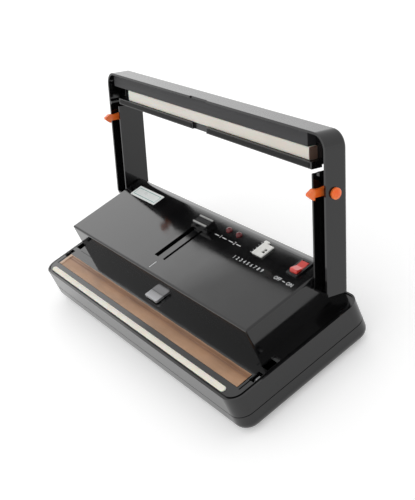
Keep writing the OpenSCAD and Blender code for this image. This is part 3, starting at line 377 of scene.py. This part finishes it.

# %% [markdown]
# ## Woven glass
# Two pieces are woven from glass yarn: the tape under the heated band, and the tan cloth over it,
# which is coated with PTFE. The yarns of the cloth lie 0.3 mm apart, too fine to show, so the
# weave is drawn at 1.2 mm. Two crossed waves give the relief, and the coating softens it. Heat
# has browned the cloth along the band; a painted shade line lies in the crease, with a painted
# highlight just behind it, and the colour follows these across its width.

# %% Glass tape and coated cloth
def woven(tree, pitch):
    warp, weft = stripes(tree, "X", pitch), stripes(tree, "Y", pitch)
    return add(tree, "ShaderNodeMath", {0: warp, 1: weft}, operation="MAXIMUM").outputs["Value"]


glass_tape, tree, shader = finish_of("woven_glass_tape", "cfc6a6", 0.6)
yarns = woven(tree, 0.8)
tint(tree, shader, yarns, "b9ae8a", "ded6bb")
bumped(tree, shader, yarns, 0.08)
dress(glass_tape, "insulating_strip")

# %% The cloth's coating
coated_cloth, tree, shader = finish_of("ptfe_coated_glass_cloth", "a97f60", 0.4, IOR=1.38, Sheen_Weight=0.15,
                                       Sheen_Roughness=0.4)
cloth_low, cloth_high = [Vector(corner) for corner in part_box("nonstick_cloth")]
cloth_middle = (cloth_low.y + cloth_high.y) / 2 / MM
across = add(tree, "ShaderNodeSeparateXYZ", {"Vector": in_mm(tree)}).outputs["Y"]
edge_to_edge = add(tree, "ShaderNodeMapRange",
                   {"Value": across, **spread(0, 1, cloth_middle - 8.2, cloth_middle + 8.2)})
# Across the cloth: heat browning, a painted shade line in the crease (stop 0.74) and a painted highlight just
# behind it (stop 0.8).
browning_and_crease_shading = tint(tree, shader, edge_to_edge.outputs["Result"],
               "b48c6c", "ae8564", "a87d5b", "82593d", "9c7252", "8d6446", "b48c6a",
               places=(0.0, 0.3, 0.62, 0.74, 0.8, 0.9, 1.0))
mottle = add(tree, "ShaderNodeMapRange", {"Value": grain(tree, 14, 4, (3, 1, 1)), **spread(0.8, 1.12)})
toned = add(tree, "ShaderNodeVectorMath", {0: browning_and_crease_shading, "Scale": mottle.outputs["Result"]}, operation="SCALE")
tree.links.new(toned.outputs["Vector"], shader.inputs["Base Color"])
polish(tree, shader, grain(tree, 10, 3), 0.34, 0.48)
bumped(tree, shader, woven(tree, 1.2), 0.03)
print("cloth coloured over", round((cloth_high.y - cloth_low.y) / MM, 1), "mm")

# %% [markdown]
# ## Cream silicone
# The strip in front of the cloth is silicone sponge and the bar in the lid is solid silicone.
# Both are off-white and matt. The sponge shows its cut cells as small pits, the solid bar only
# the faint drag lines of the die it was pushed through. The bar's right end face is painted
# brownish dark as painted shade.

# %% Sponge and solid silicone
silicone_sponge, tree, shader = finish_of("silicone_sponge", "f4eee0", 0.75, IOR=1.41, Subsurface_Weight=0.2,
                                          Subsurface_Scale=2 * MM)
cells = add(tree, "ShaderNodeTexVoronoi", {"Vector": in_mm(tree, 0.9), "Scale": 1.0}).outputs["Distance"]
tint(tree, shader, grain(tree, 9, 3), "f8f0e0", "fdf8ee")
bumped(tree, shader, cells, 0.12)

solid_silicone, tree, shader = finish_of("extruded_silicone", "ece6dc", 0.5, IOR=1.41, Subsurface_Weight=0.25,
                                         Subsurface_Scale=3 * MM)
cream = tint(tree, shader, grain(tree, 20, 3, (4, 1, 1)), "e6dfd3", "f0ebe2")
bumped(tree, shader, grain(tree, 0.8, 2, (30, 1, 1)), 0.03)
# The bar's right end face, its last tenth of a millimetre, is painted brownish dark as painted shade on that
# face.
along = add(tree, "ShaderNodeSeparateXYZ", {"Vector": in_mm(tree)}).outputs["X"]
bar_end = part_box("seal_rubber")[1][0] / MM
end_face_shade = add(tree, "ShaderNodeMapRange", {"Value": along, **spread(0, 1, bar_end - 0.1, bar_end - 0.05)})
sides_and_shaded_end = add(tree, "ShaderNodeMix", {0: end_face_shade.outputs["Result"], 6: cream, 7: linear("7a6358")},
                    data_type="RGBA")
tree.links.new(sides_and_shaded_end.outputs[2], shader.inputs["Base Color"])
print("bar's cut end at x", round(bar_end, 1), "mm")

# %% [markdown]
# ## Lofting the soft strips
# The cloth, the sponge and the silicone bar are long pieces with a small section. Each is lofted:
# a closed section is placed at many stations along X, so the section can swell, sink or drift a
# little on its way.

# %% A mesh from points, and a loft
def smooth_mesh(name, points, faces, material, body, angle=40):
    """A piece on a body, smooth but for edges sharper than an angle in degrees."""
    data = bpy.data.meshes.new(name)
    data.from_pydata(points, [], faces)
    shape = bmesh.new()
    shape.from_mesh(data)
    bmesh.ops.recalc_face_normals(shape, faces=shape.faces)
    shape.to_mesh(data)
    shape.free()
    data.materials.append(material)
    data.shade_smooth()
    data.set_sharp_from_angle(angle=math.radians(angle))
    piece = placed(name, data)
    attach(piece, body)
    return piece


def lofted(name, sections, material, body, angle=40):
    """A closed piece through a row of closed sections with the same number of points."""
    count = len(sections[0])
    points = [tuple(p) for section in sections for p in section]
    faces = [tuple(range(count))[::-1], tuple(range(len(points) - count, len(points)))]
    for row in range(len(sections) - 1):
        for i in range(count):
            a, b = row * count + i, row * count + (i + 1) % count
            faces.append((a, b, b + count, a + count))
    print(name, len(faces), "faces")
    return smooth_mesh(name, points, faces, material, body, angle)


def waver(x, seed, step=0.03):
    """A slow smooth drift between -1 and 1 along a strip."""
    return (math.sin(x / step + seed) + 0.6 * math.sin(x / step * 0.43 + seed * 2.7)) / 1.6


print("drift along the first 60 mm:", [round(waver(x * 0.02, 1), 2) for x in range(4)])

# %% [markdown]
# ## The coated cloth
# The cloth is a strip 16.3 mm wide and 355 mm long, glued along its front edge and tucked at its
# ends. It lies over the heated band, so a low ridge runs along its middle, and behind the ridge
# heat has left a crease. Its left end is folded back on itself, which gives a short double part.

# %% Loft the cloth
cloth_long, cloth_wide = cloth_high.x - cloth_low.x, cloth_high.y - cloth_low.y
band_low, band_high = [Vector(corner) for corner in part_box("heating_band")]
band_middle = (band_low.y + band_high.y) / 2
cloth_thick = 0.22 * MM


def cloth_height(x, y):
    """Top of the cloth above its underside's lowest place, in metres."""
    from_front = y - cloth_low.y
    over_band = math.exp(-(((y - band_middle) / (2.6 * MM)) ** 2)) * 0.2 * MM
    crease = math.exp(-(((from_front - 12.6 * MM + 0.4 * MM * waver(x, 1)) / (0.55 * MM)) ** 2)) * 0.32 * MM
    ripple = (0.09 * waver(x, 2, 0.016) + 0.07 * waver(x + 3 * y, 5, 0.007)) * MM
    rear = max(0, (from_front - 13.2 * MM) / (3.1 * MM))
    return 0.42 * MM + over_band + crease + ripple * (0.4 + 0.9 * rear) + 0.12 * MM * rear


def cloth_layer(x, ys, lift, thick):
    """A closed section of cloth over the places ys, lifted above the bed."""
    top = [(x, y, cloth_low.z + cloth_height(x, y) + lift) for y in ys]
    return top + [(x, y, z - thick) for x, y, z in reversed(top)]


def cloth_section(x):
    fray = 0.12 * MM * waver(x, 9, 0.004)
    ys = [cloth_low.y + cloth_wide * i / 30 for i in range(31)]
    ys[0], ys[-1] = ys[0] - fray * 0.3, ys[-1] + fray
    return cloth_layer(x, ys, 0, cloth_thick)


stations = [cloth_low.x + cloth_long * i / 240 for i in range(241)]
cloth = lofted("coated_cloth", [cloth_section(x) for x in stations], coated_cloth, "base", 60)
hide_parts("nonstick_cloth")

# %% Add the folded end
fold_long = 5 * MM
folded_tone = coated_cloth.copy()
folded_tone.name = "ptfe_coated_glass_cloth_folded"
for stop in next(n for n in folded_tone.node_tree.nodes if n.type == "VALTORGB").color_ramp.elements:
    stop.color = linear("cba98c")


def fold_section(x):
    lift = 0.2 * MM + 0.25 * MM * (x - cloth_low.x) / fold_long
    ys = [cloth_low.y + 0.3 * MM + (cloth_wide - 0.6 * MM) * i / 16 for i in range(17)]
    return cloth_layer(x, ys, lift, 0.2 * MM)


fold_sections = [fold_section(cloth_low.x + fold_long * i / 6) for i in range(7)]
fold = lofted("cloth_fold", fold_sections, folded_tone, "base", 60)

# %% [markdown]
# ## The sponge strip
# The sponge sits in a shallow groove and stands a millimetre proud of the deck. It is cut from a
# sheet, so its sides are straight, but the top is crowned and sinks a little here and there.

# %% Loft the sponge
sponge_low, sponge_high = [Vector(corner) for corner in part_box("foam_strip")]
sponge_long, sponge_wide, sponge_tall = sponge_high - sponge_low
sponge_middle = (sponge_low.y + sponge_high.y) / 2
sunk = sponge_low.z + 0.05 * MM


def sponge_section(x):
    from_end = min(x - sponge_low.x, sponge_high.x - x) / (sponge_wide / 2)
    half = sponge_wide / 2 * math.sqrt(max(0.03, 1 - max(0, 1 - from_end) ** 2)) - 0.04 * MM
    tall = sponge_tall + 0.12 * MM * waver(x, 4, 0.02)
    crown = []
    for i in range(13):
        a = math.pi * (1 - i / 12)
        aside = math.copysign(abs(math.cos(a)) ** 0.5, math.cos(a))
        level = tall * (0.62 + 0.4 * math.sin(a) ** 0.7)
        crown.append((x, sponge_middle + half * aside, sponge_low.z + level))
    return [(x, sponge_middle - half, sunk)] + crown + [(x, sponge_middle + half, sunk)]


ends = [0, 0.002, 0.004, 0.006, 0.0085]
shares = ends + [0.0085 + 0.983 * i / 120 for i in range(1, 120)] + [1 - share for share in reversed(ends)]
sponge_sections = [sponge_section(sponge_low.x + sponge_long * share) for share in shares]
sponge = lofted("sponge_strip", sponge_sections, silicone_sponge, "base", 50)
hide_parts("foam_strip")

# %% [markdown]
# ## The silicone bar
# The bar in the lid presses the bag on the heated band. It is extruded with rounded corners and a
# slightly crowned face, and cut square at both ends. Its section is a superellipse with flat
# sides. The lid is drawn closed and then turned about its hinge, as in the solids, so a piece in
# the lid is lofted closed and turned open the same way.

# %% Turning with the lid
hinge = next(j for j in frame["record"]["behaviour"]["joints"] if j["name"] == "lid_hinge")
turn = Matrix.Rotation(-math.radians(hinge["range_deg"][1]), 4, "X")
axle = Vector(hinge["pos_m"])
lid_open = Matrix.Translation(axle) @ turn @ Matrix.Translation(-axle)
lid_closed = lid_open.inverted()


def corners(spots):
    """The lowest and the highest corner of the box around some points."""
    return [Vector([pick(spot[i] for spot in spots) for i in range(3)]) for pick in (min, max)]


def closed_box(name):
    """A lid node's lowest and highest corner with the lid turned back to closed."""
    return corners([lid_closed @ v.co for v in nodes[name].data.vertices])


print("lid turned by", hinge["range_deg"][1], "degrees")

# %% Loft the bar
bar_low, bar_high = closed_box("seal_rubber")
bar_round, clear = 0.9 * MM, 0.02 * MM


def bar_section(x):
    """Four rounded corners, then the crown on the face that presses the bag."""
    y0, y1, z0, z1 = bar_low.y + clear, bar_high.y - clear, bar_low.z, bar_high.z - clear
    left, right, under, over = y0 + bar_round, y1 - bar_round, z0 + bar_round, z1 - bar_round
    ring = []
    for quarter, (y, z) in enumerate(((right, over), (left, over), (left, under), (right, under))):
        for i in range(5):
            a = math.radians(90 * quarter + 22.5 * i)
            ring.append(Vector((x, y + bar_round * math.cos(a), z + bar_round * math.sin(a))))
    crown = 0.12 * MM + 0.1 * MM * waver(x, 3, 0.05)
    for i in range(1, 8):
        spot = (x, left + (right - left) * i / 8, z0 - crown * math.sin(math.pi * i / 8))
        ring.insert(14 + i, Vector(spot))
    return [lid_open @ point for point in ring]


bar_sections = [bar_section(bar_low.x + (bar_high.x - bar_low.x) * i / 90) for i in range(91)]
bar = lofted("silicone_bar", bar_sections, solid_silicone, "lid", 35)
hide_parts("seal_rubber")

# %% [markdown]
# ## Screws
# Four kinds of screw hold the sealer together, all with chamfered pan heads and a cross recess.
# A node tree makes one screw from its sizes and copies it to every place where the solids have
# one. The places are the vertices of a small mesh of points, and the screws in the lid are turned
# with it. The recess is cut by a boolean, since a cross has too many corners to model by hand.

# %% The tree's named inputs
SCREW_SIZES = {"Shank radius": 1.45, "Shank length": 18, "Head radius": 3, "Head height": 2}
cross_head = bpy.data.node_groups.new("cross_head_screw", "GeometryNodeTree")
sockets = cross_head.interface
sockets.new_socket("Places", in_out="INPUT", socket_type="NodeSocketGeometry")
for name, size in SCREW_SIZES.items():
    sockets.new_socket(name, in_out="INPUT", socket_type="NodeSocketFloat").default_value = size * MM
sockets.new_socket("Turn", in_out="INPUT", socket_type="NodeSocketRotation")
sockets.new_socket("Finish", in_out="INPUT", socket_type="NodeSocketMaterial")
sockets.new_socket("Screws", in_out="OUTPUT", socket_type="NodeSocketGeometry")
given = cross_head.nodes.new("NodeGroupInput").outputs
print("inputs", [socket.name for socket in given if socket.name])

# %% [markdown]
# The head is made at a radius and a height of 1, with its seat at zero and its top below, and is
# stretched to size at the end. So the cross always keeps its share of the head.

# %% The head and its cross recess
rim = add(cross_head, "GeometryNodeMeshCylinder", {"Radius": 1, "Depth": 0.55, "Vertices": 32})
cap = add(cross_head, "GeometryNodeMeshCone",
          {"Radius Top": 1, "Radius Bottom": 0.66, "Depth": 0.45, "Vertices": 32})
head = add(cross_head, "GeometryNodeMeshBoolean", operation="UNION")
for form, level in ((rim, -0.275), (cap, -1)):
    moved = add(cross_head, "GeometryNodeTransform",
                {"Geometry": form.outputs["Mesh"], "Translation": (0, 0, level)})
    cross_head.links.new(moved.outputs["Geometry"], head.inputs["Mesh 2"])
recessed = add(cross_head, "GeometryNodeMeshBoolean", {"Mesh 1": head.outputs["Mesh"]},
               operation="DIFFERENCE")
for size in ((1.05, 0.26, 1.1), (0.26, 1.05, 1.1)):
    wing = add(cross_head, "GeometryNodeMeshCube", {"Size": size})
    sunk_wing = add(cross_head, "GeometryNodeTransform",
                    {"Geometry": wing.outputs["Mesh"], "Translation": (0, 0, -1.05)})
    cross_head.links.new(sunk_wing.outputs["Geometry"], recessed.inputs["Mesh 2"])
stretch = add(cross_head, "ShaderNodeCombineXYZ",
              {"X": given["Head radius"], "Y": given["Head radius"], "Z": given["Head height"]})
sized_head = add(cross_head, "GeometryNodeTransform",
                 {"Geometry": recessed.outputs["Mesh"], "Scale": stretch.outputs["Vector"]})
print("head of", len(cross_head.nodes), "nodes")

# %% The shank, and a copy at every place
shank = add(cross_head, "GeometryNodeMeshCylinder",
            {"Radius": given["Shank radius"], "Depth": given["Shank length"], "Vertices": 20})
half = add(cross_head, "ShaderNodeMath", {0: given["Shank length"], 1: 0.5}, operation="MULTIPLY")
lift = add(cross_head, "ShaderNodeCombineXYZ", {"Z": half.outputs["Value"]})
raised_shank = add(cross_head, "GeometryNodeTransform",
                   {"Geometry": shank.outputs["Mesh"], "Translation": lift.outputs["Vector"]})
whole = add(cross_head, "GeometryNodeJoinGeometry", {"Geometry": sized_head.outputs["Geometry"]})
cross_head.links.new(raised_shank.outputs["Geometry"], whole.inputs["Geometry"])
copies = add(cross_head, "GeometryNodeInstanceOnPoints",
             {"Points": given["Places"], "Instance": whole.outputs["Geometry"], "Rotation": given["Turn"]})
real = add(cross_head, "GeometryNodeRealizeInstances", {"Geometry": copies.outputs["Instances"]})
painted = add(cross_head, "GeometryNodeSetMaterial",
              {"Geometry": real.outputs["Geometry"], "Material": given["Finish"]})
ending = cross_head.nodes.new("NodeGroupOutput")
cross_head.links.new(painted.outputs["Geometry"], ending.inputs["Screws"])
print("screw tree with", len(cross_head.nodes), "nodes")

# %% [markdown]
# The places come from the solids. Each screw is a loose part of its node's mesh once the doubles
# are merged. It stands upright, or does so with the lid closed, and its head is at the bottom, so
# its seat lies one shank's length below the top of its part.

# %% Find the solids of a node
def loose_parts(name):
    """The separate solids of a node, each as its list of corners."""
    shape = bmesh.new()
    shape.from_mesh(nodes[name].data)
    bmesh.ops.remove_doubles(shape, verts=shape.verts, dist=1e-6)
    left, found = set(shape.verts), []
    while left:
        heap, part = [left.pop()], []
        while heap:
            vertex = heap.pop()
            part.append(vertex.co.copy())
            near = {e.other_vert(vertex) for e in vertex.link_edges} & left
            left -= near
            heap += near
        found.append(part)
    shape.free()
    return found


for name in ("base_screws", "cover_screws", "lid_screws"):
    print(name, len(loose_parts(name)), "solids")

# %% Run the tree on a set of places
def evaluated_mesh(holder):
    """The finished mesh of a holder, which is then removed."""
    made = bpy.data.meshes.new_from_object(holder.evaluated_get(bpy.context.evaluated_depsgraph_get()))
    bpy.data.objects.remove(holder)
    return made


def through_tree(name, tree, places, values, body):
    """Runs a geometry tree on a mesh of points and keeps the result as a plain piece."""
    data = bpy.data.meshes.new(name + "_places")
    data.from_pydata(places, [], [])
    holder = placed(name + "_holder", data)
    step = holder.modifiers.new("tree", "NODES")
    step.node_group = tree
    for item in tree.interface.items_tree:
        if item.in_out == "INPUT" and item.name in values:
            step[item.identifier] = values[item.name]
    made = evaluated_mesh(holder)
    made.name = name
    made.set_sharp_from_angle(angle=math.radians(35))
    piece = placed(name, made)
    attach(piece, body)
    print(name, len(places), "copies,", len(made.polygons), "faces")
    return piece


# %% Make the three sets of screws
def screws(name, node, sizes, body, lid=False):
    """Stands for a node of screws, with sizes in millimetres. A lid's screws are turned with it."""
    turned_back, turned_open = (lid_closed, lid_open) if lid else (Matrix(), Matrix())
    places = []
    for part in loose_parts(node):
        low, high = corners([turned_back @ corner for corner in part])
        seat = Vector(((low.x + high.x) / 2, (low.y + high.y) / 2, high.z - sizes["Shank length"] * MM))
        places.append(turned_open @ seat)
    values = {key: size * MM for key, size in sizes.items()}
    values.update({"Finish": zinc_plate, "Turn": (turn if lid else Matrix()).to_euler()})
    piece = through_tree(name, cross_head, places, values, body)
    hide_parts(node)


screws("shell_screws", "base_screws", SCREW_SIZES, "base")
screws("housing_screws", "cover_screws", {**SCREW_SIZES, "Shank length": 12}, "base")
screws("holder_screws", "lid_screws",
       {"Shank radius": 1.2, "Shank length": 8, "Head radius": 2.4, "Head height": 1.6}, "lid", lid=True)

# %% [markdown]
# ## Printing on the panel
# The panel is printed in white ink: an index line where the nozzle's tip comes out, a scale for
# the time slider, numbers for the two lamps and the words of the power switch. The maker's place
# to the left of the slider stays bare. Printing is a film far thinner than a hair, so it is drawn
# as flat faces just above the plastic, from text objects turned into meshes.

# %% Inks
white_ink, tree, shader = finish_of("white_pad_printing_ink", "dfe1e2", 0.45, IOR=1.5)
tint(tree, shader, grain(tree, 1.5, 3), "d2d5d7", "eceeee")
teal_ink, tree, shader = finish_of("teal_screen_ink", "3f9c93", 0.5, IOR=1.5)
tint(tree, shader, grain(tree, 1.5, 3), "35908a", "4eaba0")
print(white_ink.name, "and", teal_ink.name)

# %% Words and strokes as flat faces
# Places are in millimetres, from the middle and from the base's front face.
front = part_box("lower_shell")[0][1]
print("front face at y", round(front / MM, 1), "mm")


def written(text, x, y, z, size=5.4):
    """The outline of a word centred on a place, as points and faces."""
    curve = bpy.data.curves.new("word", "FONT")
    curve.body, curve.size, curve.align_x, curve.align_y = text, size * MM, "CENTER", "CENTER"
    curve.resolution_u, curve.offset = 2, size * MM * 0.01
    shape = evaluated_mesh(placed("word", curve))
    points = [(v.co.x + x * MM, v.co.y + front + y * MM, z) for v in shape.vertices]
    faces = [tuple(f.vertices) for f in shape.polygons]
    bpy.data.curves.remove(curve)
    return points, faces


def stroke(x0, y0, x1, y1, z):
    """A rectangle between two corners, as points and one face."""
    ring = [(x0, y0), (x1, y0), (x1, y1), (x0, y1)]
    return [(x * MM, front + y * MM, z) for x, y in ring], [(0, 1, 2, 3)]


def printed(name, shapes, ink, body):
    """Words and strokes as one piece that faces up."""
    points, faces = [], []
    for more_points, more_faces in shapes:
        faces += [tuple(i + len(points) for i in face) for face in more_faces]
        points += more_points
    piece = smooth_mesh(name, points, faces, ink, body)
    for face in piece.data.polygons:
        if face.normal.z < 0:
            face.flip()
    print(name, len(faces), "faces")


# %% Print the panel
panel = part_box("housing_cover")[1][2] + 0.04 * MM
index_line = [stroke(-3.7, 51.4, -2.8, 60.2, panel)]
digits = [written(str(n), 71.5 + 5.5 * (n - 1), 104.6, panel) for n in range(1, 10)]
ticks = [stroke(80.2, 117.2 + 3.4 * i, 81.4 if i % 2 else 82.4, 117.7 + 3.4 * i, panel) for i in range(5)]
lamp_marks = []
for number, x in ((1, 30), (2, 54)):
    lamp_marks += [written(str(number), x, 117.6, panel)]
    lamp_marks += [stroke(x + start, 117.2, x + end, 118, panel) for start, end in ((-10, -3), (3, 10))]
switch_words = [written("OFF", 138.5, 104.8, panel), written("ON", 156, 104.8, panel),
                stroke(145.8, 104.4, 149.6, 105.2, panel)]
printed("panel_printing", index_line + digits + ticks + lamp_marks + switch_words, white_ink, "base")

# %% [markdown]
# ## The label
# The label is a white film with a printed border, left blank inside.

# %% Print the label's border
label_low, label_high = [Vector(corner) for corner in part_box("blank_label")]
x0, x1 = label_low.x / MM + 3, label_high.x / MM - 3
y0, y1 = (label_low.y - front) / MM + 2.6, (label_high.y - front) / MM - 2.6
over, line = label_high.z + 0.03 * MM, 0.5
border = [stroke(x0, y0, x1, y0 + line, over), stroke(x0, y1 - line, x1, y1, over),
          stroke(x0, y0 + line, x0 + line, y1 - line, over),
          stroke(x1 - line, y0 + line, x1, y1 - line, over)]
printed("label_border", border, teal_ink, "base")

# %% [markdown]
# ## The studio
# A white floor and an even white sky give plain soft light, as in a light tent. Two large soft
# boxes stand behind on the left: what they light directly matters little on black plastic, but
# they are what the housing's top and the lid's outer face mirror.

# %% Floor, and what the camera sees directly
def seen_directly(tree, unseen, seen):
    """One level for what the camera, a mirror or a clear piece sees, and one for light on matt things."""
    ray = add(tree, "ShaderNodeLightPath").outputs
    mirrored = add(tree, "ShaderNodeMath", {0: ray["Is Camera Ray"], 1: ray["Is Glossy Ray"]},
                   operation="MAXIMUM")
    direct = add(tree, "ShaderNodeMath", {0: mirrored.outputs["Value"], 1: ray["Is Transmission Ray"]},
                 operation="MAXIMUM").outputs["Value"]
    return add(tree, "ShaderNodeMapRange", {"Value": direct, **spread(unseen, seen, 0, 1)}).outputs["Result"]


floor_half = 9
floor_paint, tree, shader = finish_of("white_floor", "f4f4f4", 0.9)
glow = add(tree, "ShaderNodeEmission", {"Strength": seen_directly(tree, 0.0, 0.3)})
both = add(tree, "ShaderNodeAddShader", {0: shader.outputs["BSDF"], 1: glow.outputs["Emission"]})
tree.links.new(both.outputs["Shader"], tree.nodes["Material Output"].inputs["Surface"])
floor_data = bpy.data.meshes.new("floor")
floor_data.from_pydata([(x * floor_half, y * floor_half, 0) for x, y in ((-1, -1), (1, -1), (1, 1), (-1, 1))],
                       [], [(0, 1, 2, 3)])
floor_data.materials.append(floor_paint)
placed("floor", floor_data)
print("floor", 2 * floor_half, "m wide")

# %% Sky
sky = bpy.data.worlds.new("white_tent")
bpy.context.scene.world = sky
sky.use_nodes = True
tree = sky.node_tree
tree.nodes["Background"].inputs["Color"].default_value = (1, 1, 1, 1)
tree.links.new(seen_directly(tree, 0.85, 1.0), tree.nodes["Background"].inputs["Strength"])
print(sky.name, "over the floor")

# %% Soft boxes
def soft_box(name, towards, wide, tall, radiance, distance=2.6):
    """A rectangular lamp in a direction from the sealer, facing it, of a stated brightness."""
    lamp = bpy.data.lights.new(name, "AREA")
    lamp.shape, lamp.size, lamp.size_y = "RECTANGLE", wide, tall
    lamp.energy = radiance * math.pi * wide * tall
    holder = placed(name, lamp)
    outwards = Vector(towards).normalized()
    holder.location = Vector((0, 0, 0.1)) + outwards * distance
    holder.rotation_mode = "QUATERNION"
    holder.rotation_quaternion = outwards.to_track_quat("Z", "Y")
    print(name, "energy", round(lamp.energy, 1))


soft_box("rear_left_box", (-0.81, 0.36, 0.288), 2.2, 1.3, 0.9)
soft_box("low_rear_box", (-0.81, 0.58, 0.14), 1.4, 0.7, 0.35)
bpy.context.scene.view_settings.view_transform = "Standard"
